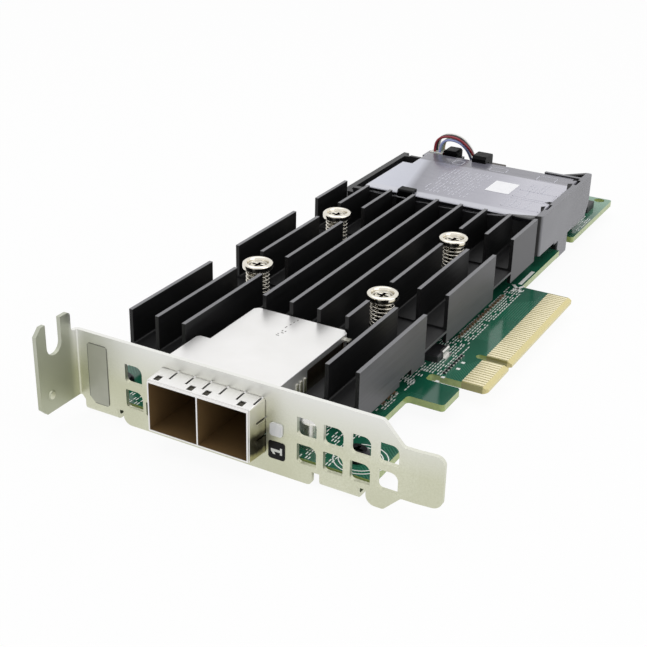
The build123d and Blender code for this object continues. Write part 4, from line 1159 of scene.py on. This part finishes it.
# Packages and passive parts
# Epoxy moulding compound is a fine-grained matt black. Ferrite is greyer. Ceramic parts are tan with
# bright tinned ends, and resistors are black with the same ends.
epoxy, tree, where = material("epoxy_moulding_compound")
grain = add_node(tree, "ShaderNodeTexNoise", {}, {"Vector": where, "Scale": 1000 / 0.3, "Detail": 2.0})
shade = add_node(
    tree,
    "ShaderNodeMix",
    {"data_type": "RGBA"},
    {"Factor": grain.outputs[0], 6: colour("#1e1e20"), 7: colour("#303033")},
)
relief = add_node(
    tree, "ShaderNodeBump", {}, {"Height": grain.outputs[0], "Distance": 0.00001, "Strength": 0.5}
)
surface = add_node(
    tree,
    "ShaderNodeBsdfPrincipled",
    {},
    {"Base Color": shade.outputs[2], "Roughness": 0.5, "IOR": 1.55, "Normal": relief.outputs[0]},
)
add_node(tree, "ShaderNodeOutputMaterial", {}, {"Surface": surface.outputs[0]})
dress(
    epoxy,
    "memory_chips",
    "power_regulators",
    "polymer_capacitor",
    "flash_chip",
    "controller_memory_chip",
    "charger_chip",
    "row_resistors",
)

ferrite = mottled("pressed_ferrite", 0.25, 3.0, "#3f3f42", "#5b5b5e", {"Roughness": 0.65})
dress(ferrite, "power_inductors")

tinned = hazed(
    "tinned_terminals", 0.3, 2.0, 0.2, 0.38, {"Base Color": colour("#dddcd8"), "Metallic": 0.95}
)
dress(tinned, "capacitor_terminal", "can_capacitor", "clock_crystal")

ceramic = mottled("tan_capacitor_ceramic", 0.5, 2.0, "#7a6048", "#9a7d60", {"Roughness": 0.45})
dress(ceramic, "row_capacitors", "underside_capacitors")


def bevelled_block(name, length, width, low, high, edge=0.06):
    """A small block about the origin, with worn edges, in millimetres."""
    shape = bmesh.new()
    bmesh.ops.create_cube(shape, size=1)
    bmesh.ops.scale(shape, verts=shape.verts, vec=(length / 1000, width / 1000, (high - low) / 1000))
    bmesh.ops.translate(shape, verts=shape.verts, vec=(0, 0, (high + low) / 2000))
    bmesh.ops.bevel(
        shape, geom=shape.edges[:], offset=edge / 1000, segments=2, affect="EDGES", profile=0.5
    )
    return as_mesh(name, shape)


# Tinned ends lap over the ends of each row's parts
END_LENGTH, END_LAP = 0.26, 0.02

for name, middle, rows, pitch, length, width, tall in (
    ("capacitor_ends", (56.1, 75.9), 18, 1.5, 1.0, 0.5, 0.5),
    ("front_capacitor_ends", (54.8, 30.0), 3, 2.4, 1.6, 0.8, 0.5),
    ("resistor_ends", (60.2, 50.4), 8, 1.3, 1.0, 0.5, 0.4),
):
    end = bevelled_block(name, END_LENGTH, width + 2 * END_LAP, 0, tall + END_LAP)
    apart = length - END_LENGTH + END_LAP
    in_rows(name, end, (*middle, BOARD_TOP), 2, rows, apart, pitch, tinned)

# Marks on the board
# White screen ink: dense rows of short lines beside the sink, rings and lines behind the bracket's
# vents, a cross and a bar by the tray's corner, and small squares by the finger.
DASH_WIDTH, DASH_LENGTH, DASH_EDGE = 0.24, 0.95, 0.008
DASH_PITCH, DASH_ROW_PITCH = 0.62, 1.32

dash = bevelled_block("dash", DASH_WIDTH, DASH_LENGTH, 0, INK, DASH_EDGE)
for name, middle, columns, rows, kept, seed in (
    ("marks_by_finger", (57.1, 77.4), 7, 27, 0.8, 3),
    ("marks_by_power_parts", (56.3, 52.4), 12, 12, 0.75, 7),
    ("marks_by_foot", (54.9, 41.9), 6, 6, 0.7, 8),
    ("marks_by_front_parts", (55.0, 32.0), 5, 12, 0.6, 11),
    ("marks_behind_right_vents", (53.4, 8.0), 12, 10, 0.5, 5),
    ("marks_behind_left_vents", (12.5, 5.2), 11, 6, 0.55, 9),
    ("marks_by_rear_hole", (56.3, 145.5), 4, 9, 0.6, 13),
):
    place = (*middle, BOARD_TOP)
    in_rows(name, dash, place, columns, rows, DASH_PITCH, DASH_ROW_PITCH, ink, kept, seed)

RINGS_MIDDLE, RING_RADII, RING_WIDTH = (60.8, 6.8), (5.3, 4.3), 0.22
turns = [radians(7.5 * step) for step in range(49)]
rings = [
    [
        (RINGS_MIDDLE[0] + radius * cos(angle), RINGS_MIDDLE[1] + radius * sin(angle))
        for radius, angle in ((wide, one), (wide, two), (wide - RING_WIDTH, two), (wide - RING_WIDTH, one))
    ]
    for wide in RING_RADII
    for one, two in zip(turns, turns[1:])
]
cross_and_bar = [
    [(55.3, 96.6), (55.9, 97.1), (59.0, 93.9), (58.4, 93.4)],
    [(56.3, 93.2), (57.0, 93.0), (58.5, 97.2), (57.8, 97.4)],
    [(56.4, 97.8), (57.3, 97.8), (57.3, 106.9), (56.4, 106.9)],
]
PAD_HALF = 0.4
pads = [
    rectangle(x - PAD_HALF, y - PAD_HALF, x + PAD_HALF, y + PAD_HALF)
    for x, y in ((61.6, 52.4), (61.8, 49.3), (60.6, 44.2), (60.3, 41.9))
]
for name, outlines in (("board_rings", rings), ("cross_and_bar", cross_and_bar), ("finger_pads", pads)):
    printed(name, outlines, laid_on(BOARD_TOP), ink)
# Short plated lands lead into the contacts, at the contacts' 1 mm pitch
LAND_FROM, LAND_TO, LAND_HALF = 64.6, 65.5, 0.35
CONTACT_GROUPS = ((45.225, 11), (58.775, 38))
lands = [
    rectangle(LAND_FROM, first + i - LAND_HALF, LAND_TO, first + i + LAND_HALF)
    for first, count in CONTACT_GROUPS
    for i in range(count)
]
printed("contact_lands", lands, laid_on(BOARD_TOP), gold)

# Battery tray
# ABS, moulded in black with a fine grain: its outer right wall and its top edges are painted grey as a
# painted reflection of the white room, and its inner faces stay black.
TRAY_RIGHT, TRAY_TOP = 57.0, 18.05
PALE_FROM, PALE_TO = 0.6, 0.15

abs_black, tree, where = material("black_moulded_abs")
parts = add_node(tree, "ShaderNodeSeparateXYZ", {}, {0: where})
grain = add_node(tree, "ShaderNodeTexNoise", {}, {"Vector": where, "Scale": 1000 / 0.4, "Detail": 3.0})
cloud = add_node(tree, "ShaderNodeTexNoise", {}, {"Vector": where, "Scale": 1000 / 12, "Detail": 2.0})
black = add_node(
    tree,
    "ShaderNodeMix",
    {"data_type": "RGBA"},
    {"Factor": grain.outputs[0], 6: colour("#141415"), 7: colour("#1f1f21")},
)
grey = add_node(
    tree,
    "ShaderNodeMix",
    {"data_type": "RGBA"},
    {"Factor": cloud.outputs[0], 6: colour("#727276"), 7: colour("#85858a")},
)
# Painted reflection: the outer right wall and the top edges are painted grey, where they mirror the white
# room
outer = add_node(
    tree,
    "ShaderNodeMapRange",
    {},
    {0: parts.outputs["X"], 1: at(TRAY_RIGHT - PALE_FROM, 0, 0).x, 2: at(TRAY_RIGHT - PALE_TO, 0, 0).x},
)
top = add_node(
    tree,
    "ShaderNodeMath",
    {"operation": "GREATER_THAN"},
    {0: parts.outputs["Z"], 1: (TRAY_TOP - NEAR_FACE) / 1000},
)
pale = add_node(
    tree, "ShaderNodeMath", {"operation": "MAXIMUM"}, {0: outer.outputs[0], 1: top.outputs[0]}
)
skin = add_node(
    tree,
    "ShaderNodeMix",
    {"data_type": "RGBA"},
    {"Factor": pale.outputs[0], 6: black.outputs[2], 7: grey.outputs[2]},
)
relief = add_node(
    tree, "ShaderNodeBump", {}, {"Height": grain.outputs[0], "Distance": 0.00002, "Strength": 0.5}
)
surface = add_node(
    tree,
    "ShaderNodeBsdfPrincipled",
    {},
    {"Base Color": skin.outputs[2], "Roughness": 0.45, "IOR": 1.54, "Normal": relief.outputs[0]},
)
add_node(tree, "ShaderNodeOutputMaterial", {}, {"Surface": surface.outputs[0]})
dress(abs_black, "battery_tray")

# Latches
# Acetal, moulded in black and polished by its tool, so it is smoother than the tray.
acetal = hazed(
    "black_acetal", 0.8, 2.0, 0.3, 0.42, {"Base Color": colour("#070708"), "Specular IOR Level": 0.06}
)
dress(acetal, "front_latch", "rear_latch", "battery_plug")

# Battery
# Two foil pouch cells in a wrap of smoky clear film, tight over the cells, faintly puckered, and
# painted darker at the rear as painted shade. Its print is faint fields and bars, and its sticker is plain
# white.
foil, tree, where = material("aluminium_laminate_foil")
crease = add_node(tree, "ShaderNodeTexNoise", {}, {"Vector": where, "Scale": 1000 / 4, "Detail": 3.0})
relief = add_node(
    tree, "ShaderNodeBump", {}, {"Height": crease.outputs[0], "Distance": 0.0002, "Strength": 0.4}
)
surface = add_node(
    tree,
    "ShaderNodeBsdfPrincipled",
    {},
    {"Base Color": colour("#b9bcc2"), "Metallic": 0.9, "Roughness": 0.35, "Normal": relief.outputs[0]},
)
add_node(tree, "ShaderNodeOutputMaterial", {}, {"Surface": surface.outputs[0]})
dress(foil, "battery_cells")

FILM_FRONT, FILM_TOP, FILM_DARK_FROM = 107.6, 17.75, 135.0
FILM_SLANT, FILM_SPAN, FILM_MIDDLE = 0.22, 60.0, 114.8
CORNER_SLOPE, CORNER_FROM = 0.37, 47.9

film, tree, where = material("smoky_clear_film")
parts = add_node(tree, "ShaderNodeSeparateXYZ", {}, {0: where})
# Across the battery, the film is pale over a label's lap, dark beside it, and paler again to the right
slant = add_node(
    tree,
    "ShaderNodeMath",
    {"operation": "MULTIPLY_ADD"},
    {0: parts.outputs["Y"], 1: FILM_SLANT, 2: parts.outputs["X"]},
)
origin = at(0, FILM_MIDDLE, 0)
tones_from = origin.x + FILM_SLANT * origin.y
across = add_node(
    tree, "ShaderNodeMapRange", {}, {0: slant.outputs[0], 1: tones_from, 2: tones_from + FILM_SPAN / 1000}
)
tones = add_node(tree, "ShaderNodeValToRGB", {}, {0: across.outputs[0]})
ramp = tones.color_ramp.elements
ramp[0].position, ramp[0].color = 0.0, colour("#cbcedb")
ramp[1].position, ramp[1].color = 1.0, colour("#bdbcc7")
for place, code in (
    (0.29, "#b9bbc8"),
    (0.33, "#71717d"),
    (0.42, "#8e8d99"),
    (0.66, "#9d9ca8"),
    (0.82, "#b9b8c3"),
):
    stop = ramp.new(place)
    stop.color = colour(code)
front = add_node(
    tree,
    "ShaderNodeMapRange",
    {},
    {
        0: parts.outputs["Y"],
        1: at(0, FILM_FRONT + 3.4, 0).y,
        2: at(0, FILM_FRONT + 2.6, 0).y,
        3: 0.0,
        4: 0.75,
    },
)
paled = add_node(
    tree,
    "ShaderNodeMix",
    {"data_type": "RGBA"},
    {"Factor": front.outputs[0], 6: tones.outputs[0], 7: colour("#c5c6cf")},
)
# Painted shade: a darker band at the rear, where the film slopes down
rear = add_node(
    tree,
    "ShaderNodeMapRange",
    {},
    {
        0: parts.outputs["Y"],
        1: at(0, FILM_DARK_FROM, 0).y,
        2: at(0, FILM_DARK_FROM + 0.8, 0).y,
        3: 0.0,
        4: 0.85,
    },
)
rear_shaded = add_node(
    tree,
    "ShaderNodeMix",
    {"data_type": "RGBA"},
    {"Factor": rear.outputs[0], 6: paled.outputs[2], 7: colour("#62616a")},
)
# Its front hangs in the shade, and so does the corner cut across at the right
sagged = add_node(
    tree,
    "ShaderNodeMath",
    {"operation": "MULTIPLY_ADD"},
    {0: parts.outputs["X"], 1: -CORNER_SLOPE, 2: parts.outputs["Y"]},
)
corner_line = at(CORNER_FROM, FILM_FRONT, 0)
cut = add_node(
    tree,
    "ShaderNodeMath",
    {"operation": "LESS_THAN"},
    {0: sagged.outputs[0], 1: corner_line.y - CORNER_SLOPE * corner_line.x},
)
edge = add_node(
    tree,
    "ShaderNodeMath",
    {"operation": "LESS_THAN"},
    {0: parts.outputs["Y"], 1: at(0, FILM_FRONT + 0.2, 0).y},
)
low = add_node(
    tree,
    "ShaderNodeMath",
    {"operation": "LESS_THAN"},
    {0: parts.outputs["Z"], 1: (FILM_TOP - 0.3) / 1000},
)
hanging = add_node(
    tree, "ShaderNodeMath", {"operation": "MULTIPLY"}, {0: edge.outputs[0], 1: low.outputs[0]}
)
shaded = add_node(
    tree, "ShaderNodeMath", {"operation": "MAXIMUM"}, {0: hanging.outputs[0], 1: cut.outputs[0]}
)
skin = add_node(
    tree,
    "ShaderNodeMix",
    {"data_type": "RGBA"},
    {"Factor": shaded.outputs[0], 6: rear_shaded.outputs[2], 7: colour("#17171a")},
)
drawn = add_node(tree, "ShaderNodeMapping", {}, {"Vector": where, "Scale": (0.35, 1, 1)})
pucker = add_node(
    tree, "ShaderNodeTexNoise", {}, {"Vector": drawn.outputs[0], "Scale": 1000 / 3.2, "Detail": 2.0}
)
relief = add_node(
    tree, "ShaderNodeBump", {}, {"Height": pucker.outputs[0], "Distance": 0.0004, "Strength": 0.35}
)
surface = add_node(
    tree,
    "ShaderNodeBsdfPrincipled",
    {},
    {
        "Base Color": skin.outputs[2],
        "Roughness": 0.24,
        "IOR": 1.5,
        "Coat Weight": 0.3,
        "Coat Roughness": 0.1,
        "Normal": relief.outputs[0],
    },
)
add_node(tree, "ShaderNodeOutputMaterial", {}, {"Surface": surface.outputs[0]})
dress(film, "battery_wrap", "battery_board")

# The free edge of the film's front flap, and the label's print as broken lines, bars and empty fields
FLAP_LEFT, FLAP_WIDTH, FLAP_HEIGHT, FLAP_STEPS, FLAP_THICK = 9.0, 40.0, 16.62, 72, 0.05

flap = bmesh.new()
turned_up = []
for step in range(FLAP_STEPS + 1):
    portion = step / FLAP_STEPS
    x = FLAP_LEFT + FLAP_WIDTH * portion
    waves = 0.12 * sin(9 * portion) + 0.07 * sin(31 * portion)
    drop = FLAP_HEIGHT + waves + max(0.0, 7.0 * (portion - 0.85))
    turned_up.append(
        [
            flap.verts.new(at(x, FILM_FRONT - lean, level))
            for lean, level in ((0.02, drop), (0.3, drop - 0.3))
        ]
    )
for one, two in zip(turned_up, turned_up[1:]):
    flap.faces.new((one[0], two[0], two[1], one[1]))
bmesh.ops.solidify(flap, geom=flap.faces[:], thickness=FLAP_THICK / 1000)
clear_edge = mottled("clear_film_edge", 2.5, 2.0, "#4a4a4e", "#a9a9ae", {"Roughness": 0.3})
keep("film_free_edge", as_mesh("film_free_edge", flap), clear_edge)

label_ink = mottled("faded_label_ink", 1.1, 2.0, "#a9a9b4", "#d3d3dc", {"Roughness": 0.4})
WORD_WIDTH, WORD_LENGTH, WORD_PITCH, LINE_PITCH = 0.3, 1.7, 1.05, 2.0
word = bevelled_block("word", WORD_WIDTH, WORD_LENGTH, 0, INK, DASH_EDGE)
for name, middle, columns, rows, kept, seed in (
    ("label_lines", (28.6, 122.4), 12, 10, 0.8, 2),
    ("label_lines_right", (48.4, 129.6), 5, 4, 0.75, 4),
):
    place = (*middle, FILM_TOP)
    in_rows(name, word, place, columns, rows, WORD_PITCH, LINE_PITCH, label_ink, kept, seed)
FIELD_LINE, BAR_WIDTH = 0.22, 0.5
fields = []
for left, right, near, far in (
    (44.6, 54.6, 112.6, 119.6),
    (44.6, 54.6, 120.6, 126.2),
    (45.2, 50.4, 135.6, 139.4),
    (20.6, 23.6, 136.2, 139.6),
    (31.4, 36.4, 136.4, 139.6),
):
    fields += [
        rectangle(left, near, right, near + FIELD_LINE),
        rectangle(left, far - FIELD_LINE, right, far),
        rectangle(left, near, left + FIELD_LINE, far),
        rectangle(right - FIELD_LINE, near, right, far),
    ]
fields += [
    rectangle(x, near, x + BAR_WIDTH, far)
    for x, near, far in (
        (46.4, 113.8, 118.2),
        (48.0, 113.8, 117.0),
        (50.4, 113.8, 118.6),
        (47.2, 121.6, 125.2),
    )
]
printed("label_fields", fields, laid_on(FILM_TOP), label_ink)
# Windows left in the film where the tray's ribs stand, each seen as a small black corner
windows = [
    [(53.8, 116.9), (54.7, 117.8), (55.4, 113.6), (55.2, 112.8)],
    [(53.6, 120.2), (55.4, 119.6), (55.3, 121.4), (54.4, 121.4)],
    [(53.7, 137.2), (54.8, 137.9), (55.5, 132.9), (54.9, 132.9)],
    [(54.0, 140.2), (55.4, 141.1), (54.9, 142.1), (53.9, 142.0)],
]
printed("film_windows", windows, laid_on(FILM_TOP), acetal)

paper = mottled("coated_white_paper", 2, 2.0, "#eeeef1", "#f8f8fa", {"Roughness": 0.5})
dress(paper, "blank_sticker")

# Battery's socket and leads
# A natural nylon socket, and six stranded leads in soft PVC that loop up out of it, over the tray's
# rear and down to the header on the card.
nylon = mottled(
    "natural_nylon", 1.5, 2.0, "#cfcdc2", "#e0ded4",
    {"Roughness": 0.35, "IOR": 1.53, "Subsurface Weight": 0.1},
)
dress(nylon, "battery_socket")

LEAD_DIAMETER = 0.7
# The part's two routes: X, Y from the rear of the battery's bay, and Z, in millimetres. Each starts in
# the socket, loops up over the tray's edge and goes down to the header
BAY_REAR = 142.0
OUTER_LOOP = (
    (12.2, 1.8, 17.7),
    (12.1, 1.8, 19.8),
    (13.3, 1.9, 21.8),
    (16.0, 2.2, 22.6),
    (19.2, 2.8, 22.0),
    (21.7, 3.8, 19.6),
    (23.1, 5.3, 16.4),
    (23.9, 7.9, 12.4),
    (24.4, 11.6, 9.2),
    (24.6, 16.0, 7.3),
    (24.6, 20.2, 7.0),
)
INNER_LOOP = (
    (13.7, 1.8, 17.7),
    (13.7, 1.8, 19.4),
    (14.8, 1.9, 21.2),
    (17.0, 2.3, 21.7),
    (19.4, 3.0, 20.9),
    (21.0, 4.3, 18.8),
    (21.7, 6.2, 15.5),
    (21.8, 8.7, 12.2),
    (21.6, 11.9, 9.3),
    (21.2, 16.0, 7.4),
    (21.0, 20.2, 7.0),
)
SOCKET_PITCH = 1.4
HEADER_PITCH = 1.2
# Each lead has its loop, its row in the socket, its colour and its length in millimetres
LEADS = {
    "red": (OUTER_LOOP, 0, "#8a1f2c", 36.3),
    "black": (OUTER_LOOP, 1, "#19191a", 35.1),
    "white": (OUTER_LOOP, 2, "#f2f0ec", 34.0),
    "blue": (INNER_LOOP, 0, "#9ca7d8", 32.4),
    "green": (INNER_LOOP, 1, "#a3bba8", 31.3),
    "tan": (INNER_LOOP, 2, "#d3bb96", 30.3),
}
for name, (loop, row, code, length) in LEADS.items():
    insulation = {"Base Color": colour(code), "IOR": 1.53}
    pvc = hazed(f"{name}_pvc_insulation", 0.9, 2.0, 0.28, 0.42, insulation)
    line = bpy.data.curves.new(f"{name}_lead", "CURVE")
    line.dimensions = "3D"
    line.bevel_depth = LEAD_DIAMETER / 2000
    line.bevel_resolution = 4
    line.resolution_u = 10
    line.use_fill_caps = True
    route = line.splines.new("NURBS")
    route.points.add(len(loop) - 1)
    # The rows part at the socket's pitch and close up to the header's along the way
    for step, (x, y, z) in enumerate(loop):
        share = (step / (len(loop) - 1)) ** 2
        across = x - HEADER_PITCH * row * share
        along = BAY_REAR + y + SOCKET_PITCH * row * (1 - share)
        route.points[step].co = (*at(across, along, z), 1)
    route.order_u = 3
    route.use_endpoint_u = True
    line.materials.append(pvc)
    lead = bpy.data.objects.new(f"{name}_lead", line)
    bpy.context.collection.objects.link(lead)
    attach(lead, "root")
    start = route.points[0].co
    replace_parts(lead, f"battery_lead_{name}")
